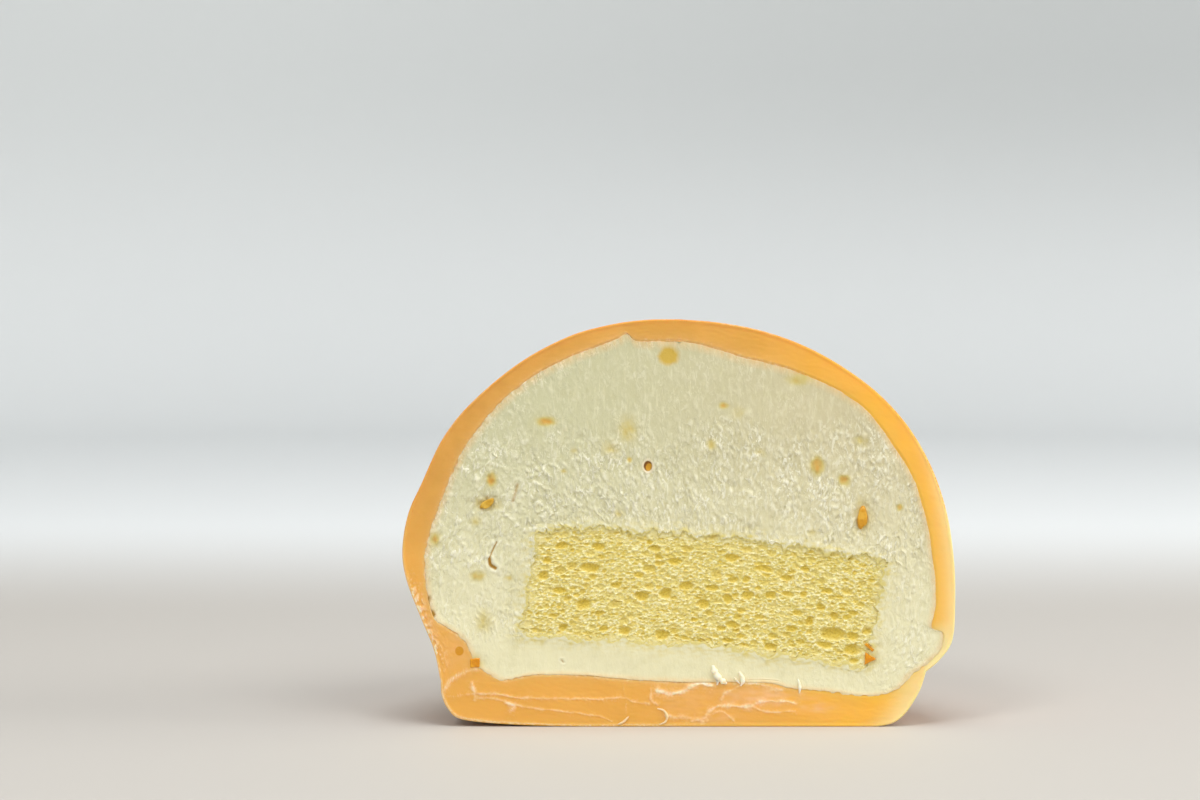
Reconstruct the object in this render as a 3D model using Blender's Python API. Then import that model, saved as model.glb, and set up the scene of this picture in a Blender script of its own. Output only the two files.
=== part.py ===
"""One half of a round mochi cake, cut upright through its middle.

A thick skin of rice dough wraps whipped cream, and the cream holds a round slab of sponge. The cut
face lies in the plane y = CUT_Y and looks along -Y; the cake stands on its flat foot at z = 0. Points
of the cut's outlines are (across, up) in millimetres, measured from the cake's upright axis.
"""

import math
import random

import bmesh
import bpy
from mathutils import Matrix, Vector, noise

MM = 0.001

# Driving sizes of the whole half, in millimetres.
CAKE_WIDTH = 75.0
CAKE_HEIGHT = 55.4
CAKE_DEPTH = 36.8
CUT_Y = -CAKE_DEPTH / 2
GAP = 0.3  # clearance that touching pieces keep
WELD = 1e-4  # points nearer than this are one

# Base colours in linear light, and roughness.
DOUGH = ((0.86, 0.42, 0.09), 0.45)
CREAM = ((0.8, 0.76, 0.55), 0.5)
SPONGE = ((0.83, 0.69, 0.24), 0.9)

# The skin's outside, seen at the cut: from the crown down to the crease above the foot, then the foot.
RIGHT_DOME = [
    (0, 55.4), (5.7, 54.9), (11.3, 53.8), (16.9, 51.8), (22.2, 48.9), (27.1, 45.2), (31.2, 40.6),
    (34.3, 35.1), (36.3, 29.1), (37.3, 22.7), (37.5, 17.2), (37.2, 12.0), (35.6, 9.3), (33.6, 7.5),
]
RIGHT_FOOT = [(33.6, 7.5), (33.1, 5.8), (32.4, 4.2), (30.9, 1.9), (29.2, 0.5), (27.0, 0)]
LEFT_DOME = [
    (0, 55.4), (4.7, 55.3), (9.6, 54.6), (15.1, 53.0), (21.6, 49.5), (27.9, 44.3), (31.9, 39.4),
    (34.9, 33.1), (36.7, 29.0), (37.5, 24.2), (37.0, 20.2), (35.2, 15.3), (33.3, 10.6), (32.35, 6.2),
]
LEFT_FOOT = [(32.35, 6.2), (32.2, 4.2), (31.3, 2.3), (29.7, 1.05), (25.3, 0.45), (19.0, 0.12), (13.0, 0)]
BACK_DOME = [
    (0, 55.4), (6.0, 55.0), (12.4, 53.5), (19.0, 50.2), (25.2, 45.3), (30.4, 38.9), (34.3, 31.0),
    (36.5, 23.4), (36.6, 16.6), (35.2, 11.6), (33.2, 7.4),
]
BACK_FOOT = [(33.2, 7.4), (33.1, 5.4), (32.0, 2.8), (30.0, 0.8), (27.0, 0)]

# The skin's inside, round the cream: from under the crown to the heel, then the floor.
RIGHT_WALL = [
    (0, 52.4), (3.6, 51.7), (8.5, 50.2), (14.6, 48.7), (21.0, 46.0), (25.2, 43.1), (28.6, 38.8),
    (31.6, 33.9), (33.5, 28.0), (34.6, 21.4), (34.8, 16.8), (34.35, 13.6), (35.8, 12.9), (35.6, 10.8),
    (33.8, 8.8), (31.4, 7.1), (30.6, 5.9),
]
RIGHT_FLOOR = [
    (30.6, 5.9), (28.9, 4.8), (25.6, 4.3), (21.0, 4.8), (15.4, 5.3), (12.6, 6.0), (6.5, 6.15), (0, 6.1)
]
LEFT_WALL = [
    (0, 52.4), (5.6, 52.4), (7.0, 53.4), (8.6, 52.6), (14.3, 50.4), (19.4, 47.8), (24.4, 43.7),
    (29.0, 37.8), (31.8, 31.5), (33.7, 26.3), (34.4, 21.5), (33.4, 15.4), (31.2, 13.5), (29.2, 12.0),
    (28.2, 10.1), (27.6, 8.5),
]
LEFT_FLOOR = [(27.6, 8.5), (25.2, 6.9), (23.6, 6.4), (19.8, 7.1), (14.0, 7.1), (8.0, 6.6), (0, 6.1)]
BACK_WALL = [
    (0, 52.2), (6.0, 51.8), (12.0, 50.1), (18.2, 46.9), (23.8, 42.3), (28.4, 36.2), (31.8, 28.8),
    (33.4, 21.8), (33.2, 16.0), (31.6, 11.8), (28.6, 8.8),
]
BACK_FLOOR = [(28.6, 8.8), (24.5, 7.2), (18.0, 6.7), (9.0, 6.4), (0, 6.1)]

# Samples along each stretch of outline, and steps of the half turn round the back.
DOME_STEPS, FOOT_STEPS, SOLE_STEPS = 25, 8, 3
WALL_STEPS, FLOOR_STEPS = 32, 14
SKIN_TURNS, LINING_TURNS = 42, 15
CURVE_FINENESS = 12
WITHIN = (0, 10, 28)  # a point well inside the skin, for telling in from out

# Soft unevenness of the skin away from the cut. It fades out below the first height and inside the radius.
SWELL = 0.45
SWELL_SPAN = 17.0
SWELL_HEIGHT, SWELL_RADIUS = 8.0, 12.0
PLEATS = 15
PLEAT_DEPTH = 0.35
PLEAT_FOOT, PLEAT_TOP = 1.5, 14.0
PLEAT_WANDER = 2.0

# Lines where folded dough meets on the cut face of the skin.
SEAM_RADIUS = 0.32
SEAM_STEPS = 10
SEAMS = {
    "heel_seam": [(-31.4, 5.1), (-30.3, 6.4), (-28.9, 7.3), (-27.3, 7.6)],
    "long_seam": [(-31.0, 4.5), (-27.5, 4.0), (-23.6, 3.7), (-21.6, 2.8), (-16.0, 2.1), (-10.6, 1.3)],
    "short_seam": [(-17.4, 3.9), (-12.0, 3.9), (-8.0, 3.9), (-5.2, 3.3), (-3.2, 2.7)],
}

# The sponge slab: a round of cake lying a little askew, with its rim drooping and its ends slanting.
SPONGE_CENTRE = (3.3, 18.5)
SPONGE_RADIUS = 24.0
SPONGE_DEPTH = 22.5
SPONGE_THICKNESS = 15.8
SPONGE_DROOP = 1.0
SPONGE_SLANT = 0.1
SPONGE_TILT = math.radians(5.3)
SPONGE_RIM = 1.5
SPONGE_RIM_STEPS = 3
SPONGE_SIDES = 56
SPONGE_STRIPS = 8
SPONGE_SET_BACK = 0.1

# Open cells that show on the sponge's cut face.
CELL_COUNT = 62
CELL_WIDEST, CELL_NARROWEST = 1.35, 0.55
CELL_FLATNESS = 0.55
CELL_DEPTH = 0.8  # half the depth of a cell for each unit of its half width
CELL_SPACING = 1.12
CELL_TRIES = 400
CELL_CROWDING = 3  # the higher, the more of the cells are small
CELL_SEED = 11

# Relief of the cut cream: long upright streaks, and tears that are deepest round one height.
CREAM_CELL = 1.16
CREAM_RELIEF = 0.42
CREAM_LIFT = 0.25
STREAK_WIDTH, STREAK_LENGTH, STREAK_SHARE = 1.7, 6.5, 0.35
TEAR_WIDTH, TEAR_HEIGHT, TEAR_OCTAVES = 3.4, 4.2, 3
TORN_HEIGHT, TORN_SPREAD = 31.0, 11.0
TEAR_LEAST, TEAR_MORE = 0.25, 0.75

# Bits of mango that show in the cream: across, up, half width, half height, in millimetres.
MANGO_BITS = [
    (-1.5, 50.5, 1.35, 1.2), (-18.2, 41.7, 1.1, 0.5), (-25.7, 33.8, 0.6, 1.0), (-26.1, 30.2, 1.1, 0.6),
    (18.6, 35.6, 0.8, 1.2), (22.6, 33.4, 0.8, 0.7), (24.9, 28.5, 0.8, 1.6), (29.9, 29.9, 0.5, 0.5),
    (27.2, 9.5, 0.8, 0.9), (-27.3, 20.4, 0.8, 0.7), (-23.1, 20.4, 0.6, 0.5), (-32.6, 25.2, 0.6, 1.0),
    (6.1, 43.7, 0.5, 0.5), (-26.3, 13.6, 0.9, 1.2),
]
MANGO_PROUD = 0.6  # half the thickness of a bit, which just reaches the cut plane

CREAM_TOP, CREAM_BOTTOM = 56.0, 2.0
FRONT_REACH = 3.0  # how far a cutter stands out in front of the cut
BACK_REACH = 40.0


def start_empty():
    for obj in list(bpy.data.objects):
        bpy.data.objects.remove(obj, do_unlink=True)


def new_collection(name):
    group = bpy.data.collections.new(name)
    bpy.context.scene.collection.children.link(group)
    return group


def new_material(name, colour, roughness):
    material = bpy.data.materials.new(name)
    material.use_nodes = True
    surface = material.node_tree.nodes["Principled BSDF"]
    surface.inputs["Base Color"].default_value = (*colour, 1)
    surface.inputs["Roughness"].default_value = roughness
    surface.inputs["Metallic"].default_value = 0
    material.diffuse_color = (*colour, 1)
    return material


def new_object(name, bm, group, material=None):
    """The bmesh as a named object in metres, with its faces pointing out."""
    bmesh.ops.recalc_face_normals(bm, faces=bm.faces)
    bmesh.ops.scale(bm, vec=(MM, MM, MM), verts=bm.verts)
    mesh = bpy.data.meshes.new(name)
    bm.to_mesh(mesh)
    bm.free()
    obj = bpy.data.objects.new(name, mesh)
    group.objects.link(obj)
    if material:
        mesh.materials.append(material)
    return obj


def as_helper(obj):
    """A cutter: it shapes other pieces and isn't part of the cake."""
    obj.hide_render = True
    obj.display_type = "WIRE"
    return obj


def add_boolean(obj, operation, other, solver="EXACT"):
    modifier = obj.modifiers.new(other.name, "BOOLEAN")
    modifier.operation = operation
    modifier.solver = solver
    if isinstance(other, bpy.types.Collection):
        modifier.operand_type = "COLLECTION"
        modifier.collection = other
    else:
        modifier.object = other
    return modifier


def between(a, b, c, d, share):
    """A point of the Catmull-Rom curve from b to c, which heads for a and d."""
    return 0.5 * (
        2 * b
        + (c - a) * share
        + (2 * a - 5 * b + 4 * c - d) * share**2
        + (3 * b - a - 3 * c + d) * share**3
    )


def smooth_through(points, steps):
    """steps + 1 points, evenly spaced along a smooth curve through the given ones."""
    knots = [Vector(p) for p in points]
    knots = [2 * knots[0] - knots[1], *knots, 2 * knots[-1] - knots[-2]]
    dense = [
        between(*knots[i : i + 4], k / CURVE_FINENESS)
        for i in range(len(knots) - 3)
        for k in range(CURVE_FINENESS)
    ]
    dense.append(knots[-2])
    reach = [0.0]
    for a, b in zip(dense, dense[1:]):
        reach.append(reach[-1] + (b - a).length)
    found, i = [], 0
    for step in range(steps + 1):
        want = reach[-1] * step / steps
        while i < len(dense) - 2 and reach[i + 1] < want:
            i += 1
        share = (want - reach[i]) / max(reach[i + 1] - reach[i], 1e-9)
        found.append(dense[i].lerp(dense[i + 1], min(share, 1.0)))
    return found


def joined(*stretches):
    """Stretches of outline as one, with their shared ends taken once."""
    line = list(stretches[0])
    for stretch in stretches[1:]:
        line += stretch[1:]
    return line


def straight(start, end, steps):
    return [Vector(start).lerp(Vector(end), i / steps) for i in range(steps + 1)]


def skin_side(dome, foot):
    """An outside profile from the crown to the middle of the sole."""
    return joined(
        smooth_through(dome, DOME_STEPS),
        smooth_through(foot, FOOT_STEPS),
        straight(foot[-1], (0, 0), SOLE_STEPS),
    )


def lining_side(wall, floor):
    """An inside profile from under the crown to the middle of the floor."""
    return joined(smooth_through(wall, WALL_STEPS), smooth_through(floor, FLOOR_STEPS))


def turned_half(right, back, left, turns, uneven=None):
    """An open half shell: a side profile that turns from right to left round the back.

    It starts as a flat grid, whose rows are wrapped round the upright axis and whose columns take the
    profile's points. The profile changes smoothly from the right one to the back one to the left one.
    """
    steps = len(right) - 1
    bm = bmesh.new()
    bmesh.ops.create_grid(bm, x_segments=turns, y_segments=steps, size=1)
    for vert in bm.verts:
        turn = (vert.co.x + 1) / 2 * math.pi
        i = round((1 - vert.co.y) / 2 * steps)
        side = right if turn < math.pi / 2 else left
        point = side[i].lerp(back[i], math.sin(turn) ** 2)
        if uneven:
            point = uneven(point, turn)
        vert.co = (point.x * math.cos(turn), point.x * math.sin(turn), point.y)
        if abs(math.sin(turn)) < WELD:
            vert.co.y = 0
    bmesh.ops.remove_doubles(bm, verts=bm.verts, dist=WELD)
    bmesh.ops.recalc_face_normals(bm, faces=bm.faces)
    return bm


def swell(point, turn):
    """Soft dents and gathered pleats, which die away towards the cut, the crown and the sole."""
    radius, height = point
    away = math.sin(turn) ** 2
    spot = Vector((radius * math.cos(turn), radius * math.sin(turn), height)) / SWELL_SPAN
    body = min(1.0, height / SWELL_HEIGHT) * min(1.0, radius / SWELL_RADIUS)
    dent = SWELL * noise.noise(spot) * away * body
    low = max(0.0, 1 - height / PLEAT_TOP) * min(1.0, height / PLEAT_FOOT)
    wander = PLEAT_WANDER * noise.noise(spot * 2)
    pleat = PLEAT_DEPTH * low * away * abs(math.sin(PLEATS * turn / 2 + wander))
    return Vector((radius + dent - pleat, height))


def close_front(bm, reach=0.0):
    """Closes the half shell at the cut, after drawing its rim forward by reach."""
    rim = [edge for edge in bm.edges if edge.is_boundary]
    if reach:
        made = bmesh.ops.extrude_edge_only(bm, edges=rim)["geom"]
        verts = [part for part in made if isinstance(part, bmesh.types.BMVert)]
        bmesh.ops.translate(bm, verts=verts, vec=(0, -reach, 0))
        rim = [edge for edge in bm.edges if edge.is_boundary]
    bmesh.ops.edgeloop_fill(bm, edges=rim)


def to_the_cut(bm):
    """Moves a form made with its cut at y = 0 to the cut's real place."""
    bmesh.ops.translate(bm, verts=bm.verts, vec=(0, CUT_Y, 0))


def lining_form(inset):
    """The space inside the skin, smaller by inset all round."""
    bm = turned_half(
        lining_side(RIGHT_WALL, RIGHT_FLOOR),
        lining_side(BACK_WALL, BACK_FLOOR),
        lining_side(LEFT_WALL, LEFT_FLOOR),
        LINING_TURNS,
    )
    bm.normal_update()
    inward = -1 if sum(v.normal.dot(v.co - Vector(WITHIN)) for v in bm.verts) > 0 else 1
    moves = [(vert, vert.normal * inward * inset) for vert in bm.verts]
    for vert, move in moves:
        if vert.is_boundary:
            move.y = 0
        vert.co += move
    close_front(bm, FRONT_REACH)
    to_the_cut(bm)
    return bm


def make_skin(group, cutters):
    """The dough wrapper: a thick-footed shell, open at the cut, with fold seams on its cut face."""
    bm = turned_half(
        skin_side(RIGHT_DOME, RIGHT_FOOT),
        skin_side(BACK_DOME, BACK_FOOT),
        skin_side(LEFT_DOME, LEFT_FOOT),
        SKIN_TURNS,
        swell,
    )
    close_front(bm)
    to_the_cut(bm)
    skin = new_object("mochi_skin", bm, group, new_material("rice_dough", *DOUGH))
    hollow = as_helper(new_object("skin_hollow", lining_form(0), cutters))
    add_boolean(skin, "DIFFERENCE", hollow)
    for name, points in SEAMS.items():
        add_boolean(skin, "DIFFERENCE", make_seam(name, points, cutters))
    return skin


def make_seam(name, points, cutters):
    """A round bead along a fold line in the cut plane, as a mesh that cuts a shallow groove."""
    curve = bpy.data.curves.new(name, "CURVE")
    curve.dimensions = "3D"
    curve.bevel_depth = SEAM_RADIUS * MM
    curve.bevel_resolution = 1
    curve.use_fill_caps = True
    line = smooth_through(points, SEAM_STEPS)
    spline = curve.splines.new("POLY")
    spline.points.add(len(line) - 1)
    for knot, (across, up) in zip(spline.points, line):
        knot.co = (across * MM, CUT_Y * MM, up * MM, 1)
    bead = bpy.data.objects.new(name + "_curve", curve)
    cutters.objects.link(bead)
    bpy.context.view_layer.update()
    mesh = bpy.data.meshes.new_from_object(bead.evaluated_get(bpy.context.evaluated_depsgraph_get()))
    bm = bmesh.new()
    bm.from_mesh(mesh)
    bmesh.ops.remove_doubles(bm, verts=bm.verts, dist=WELD * MM)
    bmesh.ops.recalc_face_normals(bm, faces=bm.faces)
    bm.to_mesh(mesh)
    bm.free()
    cutter = bpy.data.objects.new(name, mesh)
    cutter.matrix_world = bead.matrix_world
    cutters.objects.link(cutter)
    bpy.data.objects.remove(bead, do_unlink=True)
    return as_helper(cutter)


def cream_relief(across, up):
    """How far the cut cream lies behind the cut plane: streaks above, rough tears in the middle."""
    streak = noise.noise(Vector((across / STREAK_WIDTH, 3, up / STREAK_LENGTH)))
    tear = noise.turbulence(Vector((across / TEAR_WIDTH, 9, up / TEAR_HEIGHT)), TEAR_OCTAVES, False)
    rough = TEAR_LEAST + TEAR_MORE * math.exp(-(((up - TORN_HEIGHT) / TORN_SPREAD) ** 2))
    return CREAM_LIFT + CREAM_RELIEF * max(0.0, STREAK_SHARE * streak + rough * tear)


def make_cream_block(cutters):
    """A block whose front is the cream's torn cut surface."""
    height = CREAM_TOP - CREAM_BOTTOM
    middle = (CREAM_TOP + CREAM_BOTTOM) / 2
    bm = bmesh.new()
    bmesh.ops.create_grid(
        bm,
        x_segments=round(CAKE_WIDTH / CREAM_CELL),
        y_segments=round(height / CREAM_CELL),
        size=0.5,
        matrix=Matrix.Translation((0, 0, middle))
        @ Matrix.Rotation(math.pi / 2, 4, "X")
        @ Matrix.Diagonal((CAKE_WIDTH, height, 1, 1)),
    )
    for vert in bm.verts:
        vert.co.y = CUT_Y + cream_relief(vert.co.x, vert.co.z)
    made = bmesh.ops.extrude_face_region(bm, geom=bm.faces[:], use_keep_orig=True)["geom"]
    for part in made:
        if isinstance(part, bmesh.types.BMVert):
            part.co.y = BACK_REACH
    return as_helper(new_object("cream_cut", bm, cutters))


def make_mango_bits():
    """Flat lumps of fruit that stand a little out of the cut cream."""
    group = new_collection("mango_bits")
    for i, (across, up, wide, high) in enumerate(MANGO_BITS):
        bm = bmesh.new()
        bmesh.ops.create_icosphere(bm, subdivisions=1, radius=1)
        bmesh.ops.scale(bm, vec=(wide, MANGO_PROUD, high), verts=bm.verts)
        place = (across, CUT_Y + MANGO_PROUD, up)
        bmesh.ops.translate(bm, verts=bm.verts, vec=place)
        new_object(f"mango_bit_{i + 1}", bm, group)
    return group


def slab_bent(point):
    """A point of the flat slab, moved to where the droop and the slant carry it."""
    across, back, up = point
    return Vector((across + SPONGE_SLANT * up, back, up - SPONGE_DROOP * (across / SPONGE_RADIUS) ** 2))


def sponge_form(grow, front):
    """The slab, larger by grow all round, with its flat front at the distance front behind the cut."""
    bm = bmesh.new()
    bmesh.ops.create_cone(
        bm,
        cap_ends=True,
        segments=SPONGE_SIDES,
        radius1=SPONGE_RADIUS,
        radius2=SPONGE_RADIUS,
        depth=SPONGE_THICKNESS,
    )
    rims = [e for e in bm.edges if abs(e.verts[0].co.z - e.verts[1].co.z) < WELD]
    bmesh.ops.bevel(
        bm, geom=rims, offset=SPONGE_RIM, segments=SPONGE_RIM_STEPS, profile=0.5, affect="EDGES"
    )
    for vert in bm.verts:
        vert.co.y *= SPONGE_DEPTH / SPONGE_RADIUS
    for strip in range(1, SPONGE_STRIPS):
        across = SPONGE_RADIUS * (2 * strip / SPONGE_STRIPS - 1)
        parts = bm.verts[:] + bm.edges[:] + bm.faces[:]
        bmesh.ops.bisect_plane(bm, geom=parts, plane_co=(across, 0, 0), plane_no=(1, 0, 0))
    for vert in bm.verts:
        vert.co = slab_bent(vert.co)
    bm.normal_update()
    for vert, outward in [(vert, vert.normal.copy()) for vert in bm.verts]:
        vert.co += outward * grow
    parts = bm.verts[:] + bm.edges[:] + bm.faces[:]
    bmesh.ops.bisect_plane(
        bm, geom=parts, plane_co=(0, max(front, 0), 0), plane_no=(0, -1, 0), clear_outer=True
    )
    close_front(bm, max(-front, 0))
    across, up = SPONGE_CENTRE
    bmesh.ops.rotate(bm, verts=bm.verts, cent=(0, 0, 0), matrix=Matrix.Rotation(SPONGE_TILT, 3, "Y"))
    bmesh.ops.translate(bm, verts=bm.verts, vec=(across, 0, up))
    to_the_cut(bm)
    return bm


def make_cells(cutters):
    """Open cells of the sponge as one cutter of flattened balls, the largest placed first."""
    draw = random.Random(CELL_SEED)
    tilt = Matrix.Rotation(SPONGE_TILT, 3, "Y")
    placed = []
    bm = bmesh.new()
    for i in range(CELL_COUNT):
        share = (1 - i / CELL_COUNT) ** CELL_CROWDING
        size = CELL_NARROWEST + (CELL_WIDEST - CELL_NARROWEST) * share
        for _ in range(CELL_TRIES):
            across = draw.uniform(-1, 1) * (SPONGE_RADIUS - SPONGE_RIM - size)
            up = draw.uniform(-1, 1) * (SPONGE_THICKNESS / 2 - SPONGE_RIM / 2 - size * CELL_FLATNESS)
            apart = [
                math.hypot(across - x, (up - z) / CELL_FLATNESS) / (size + s) for x, z, s in placed
            ]
            if min(apart, default=math.inf) > CELL_SPACING:
                break
        else:
            continue
        placed.append((across, up, size))
        cell = bmesh.ops.create_icosphere(bm, subdivisions=1, radius=1)["verts"]
        bmesh.ops.scale(bm, vec=(size, size * CELL_DEPTH, size * CELL_FLATNESS), verts=cell)
        bmesh.ops.translate(bm, verts=cell, vec=slab_bent((across, 0, up)))
        bmesh.ops.rotate(bm, verts=cell, cent=(0, 0, 0), matrix=tilt)
    across, up = SPONGE_CENTRE
    bmesh.ops.translate(bm, verts=bm.verts, vec=(across, SPONGE_SET_BACK, up))
    to_the_cut(bm)
    return as_helper(new_object("sponge_cells", bm, cutters))


def make_sponge(group, cutters):
    """The slab of sponge cake, with open cells on its cut face."""
    form = sponge_form(0, SPONGE_SET_BACK)
    sponge = new_object("sponge_slab", form, group, new_material("sponge_crumb", *SPONGE))
    add_boolean(sponge, "DIFFERENCE", make_cells(cutters))
    return sponge


def apply_modifiers(obj):
    """Keeps the mesh that the modifiers make, and drops them."""
    graph = bpy.context.evaluated_depsgraph_get()
    made = bpy.data.meshes.new_from_object(obj.evaluated_get(graph))
    obj.modifiers.clear()
    obj.data = made


def make_cream(group, cutters):
    """The whipped cream: it fills the skin round the sponge, and bits of mango are fused in its face."""
    cream = new_object("whipped_cream", lining_form(GAP), group, new_material("whipped_cream", *CREAM))
    add_boolean(cream, "INTERSECT", make_cream_block(cutters))
    bits = make_mango_bits()
    add_boolean(cream, "UNION", bits, "MANIFOLD")
    pocket = as_helper(new_object("sponge_pocket", sponge_form(GAP, -FRONT_REACH), cutters))
    add_boolean(cream, "DIFFERENCE", pocket)
    bpy.context.view_layer.update()
    apply_modifiers(cream)
    for bit in list(bits.objects):
        bpy.data.objects.remove(bit, do_unlink=True)
    bpy.data.collections.remove(bits)
    return cream


def main():
    start_empty()
    cake = new_collection("mochi_cake_half")
    cutters = new_collection("cutters")
    make_skin(cake, cutters)
    make_cream(cake, cutters)
    make_sponge(cake, cutters)


main()
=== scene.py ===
"""The looks of one half of a mochi cake, cut upright through its middle.

A dough skin, whipped cream torn by the knife, a porous slab of sponge, bits of mango, smears of cream
on the cut dough, and grains of starch. Shapes are worked out in millimetres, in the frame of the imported
model: x across the cut, y from the cut to the round back, z up. A finished piece is scaled to metres.
"""

import math
import random

import bmesh
import bpy
import numpy as np
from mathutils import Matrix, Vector, noise


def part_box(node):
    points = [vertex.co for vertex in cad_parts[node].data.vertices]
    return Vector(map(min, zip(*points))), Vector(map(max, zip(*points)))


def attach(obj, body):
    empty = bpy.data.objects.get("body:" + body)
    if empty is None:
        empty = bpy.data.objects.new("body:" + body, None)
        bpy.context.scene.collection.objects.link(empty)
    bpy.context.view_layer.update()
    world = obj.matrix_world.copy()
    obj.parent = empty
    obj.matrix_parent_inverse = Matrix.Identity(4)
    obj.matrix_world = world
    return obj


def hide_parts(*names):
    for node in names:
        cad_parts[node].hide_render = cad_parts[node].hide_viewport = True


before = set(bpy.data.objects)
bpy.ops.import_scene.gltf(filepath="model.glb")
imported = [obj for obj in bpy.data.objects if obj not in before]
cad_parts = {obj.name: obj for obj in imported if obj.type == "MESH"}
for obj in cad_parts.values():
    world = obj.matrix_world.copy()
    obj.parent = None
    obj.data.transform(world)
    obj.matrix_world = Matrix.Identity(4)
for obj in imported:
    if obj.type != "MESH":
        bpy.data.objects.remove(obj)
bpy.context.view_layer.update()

MM = 0.001
CUT_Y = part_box("mochi_skin")[0][1] / MM
WELD = 1e-4
SHARP = math.radians(60)
HEART = (0, 6, 26)  # a point well inside the filling
MOIST_IOR = 1.42

# The skin's outside, seen at the cut: from the crown down to the crease above the foot, then the foot.
RIGHT_DOME = [
    (0, 55.4), (5.7, 54.9), (11.3, 53.8), (16.9, 51.8), (22.2, 48.9), (27.1, 45.2), (31.2, 40.6),
    (34.3, 35.1), (36.3, 29.1), (37.3, 22.7), (37.5, 17.2), (37.2, 12.0), (35.6, 9.3), (33.6, 7.5),
]
RIGHT_FOOT = [(33.6, 7.5), (33.1, 5.8), (32.4, 4.2), (30.9, 1.9), (29.2, 0.5), (27.0, 0)]
LEFT_DOME = [
    (0, 55.4), (4.7, 55.3), (9.6, 54.6), (15.1, 53.0), (21.6, 49.5), (27.9, 44.3), (31.9, 39.4),
    (34.9, 33.1), (36.7, 29.0), (37.5, 24.2), (37.0, 20.2), (35.2, 15.3), (33.3, 10.6), (32.35, 6.2),
]
LEFT_FOOT = [(32.35, 6.2), (32.2, 4.2), (31.3, 2.3), (29.7, 1.05), (25.3, 0.45), (19.0, 0.12), (13.0, 0)]
BACK_DOME = [
    (0, 55.4), (6.0, 55.0), (12.4, 53.5), (19.0, 50.2), (25.2, 45.3), (30.4, 38.9), (34.3, 31.0),
    (36.5, 23.4), (36.6, 16.6), (35.2, 11.6), (33.2, 7.4),
]
BACK_FOOT = [(33.2, 7.4), (33.1, 5.4), (32.0, 2.8), (30.0, 0.8), (27.0, 0)]

# The skin's inside, round the cream: from under the crown to the heel, then the floor.
RIGHT_WALL = [
    (0, 52.4), (3.6, 51.7), (8.5, 50.2), (14.6, 48.7), (21.0, 46.0), (25.2, 43.1), (28.6, 38.8),
    (31.6, 33.9), (33.5, 28.0), (34.6, 21.4), (34.8, 16.8), (34.35, 13.6), (35.8, 12.9), (35.6, 10.8),
    (33.8, 8.8), (31.4, 7.1), (30.6, 5.9),
]
RIGHT_FLOOR = [
    (30.6, 5.9), (28.9, 4.8), (25.6, 4.3), (21.0, 4.8), (15.4, 5.3), (12.6, 6.0), (6.5, 6.15), (0, 6.1)
]
LEFT_WALL = [
    (0, 52.4), (5.6, 52.4), (7.0, 53.4), (8.6, 52.6), (14.3, 50.4), (19.4, 47.8), (24.4, 43.7),
    (29.0, 37.8), (31.8, 31.5), (33.7, 26.3), (34.4, 21.5), (33.4, 15.4), (31.2, 13.5), (29.2, 12.0),
    (28.2, 10.1), (27.6, 8.5),
]
LEFT_FLOOR = [(27.6, 8.5), (25.2, 6.9), (23.6, 6.4), (19.8, 7.1), (14.0, 7.1), (8.0, 6.6), (0, 6.1)]
BACK_WALL = [
    (0, 52.2), (6.0, 51.8), (12.0, 50.1), (18.2, 46.9), (23.8, 42.3), (28.4, 36.2), (31.8, 28.8),
    (33.4, 21.8), (33.2, 16.0), (31.6, 11.8), (28.6, 8.8),
]
BACK_FLOOR = [(28.6, 8.8), (24.5, 7.2), (18.0, 6.7), (9.0, 6.4), (0, 6.1)]

# Soft unevenness of the skin away from the cut.
SWELL = 0.45
SWELL_SPAN = 17.0
PLEATS = 15
PLEAT_DEPTH = 0.35
PLEAT_TOP = 14.0

# Samples along each stretch of the skin's outline, and rows of its surfaces.
DOME_STEPS, FOOT_STEPS, SOLE_STEPS = 302, 58, 160
WALL_STEPS, FLOOR_STEPS = 320, 200
TURNS, LINING_TURNS, RIM_ROWS = 72, 10, 52
CUT_ROUND = 0.14

# The slab of sponge, as in the model.
SPONGE_CENTRE = (3.3, 18.5)
SPONGE_RADIUS = 24.0
SPONGE_DEPTH = 22.5
SPONGE_THICKNESS = 15.8
SPONGE_DROOP = 1.0
SPONGE_SLANT = 0.1
SPONGE_TILT = math.radians(5.3)
SPONGE_RIM = 1.5
SPONGE_GRID = (480, 158)
SPONGE_ROWS = 7
SPONGE_BACK_TURN = math.radians(84)  # how far round its back the sides are modelled, before the end cap

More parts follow.
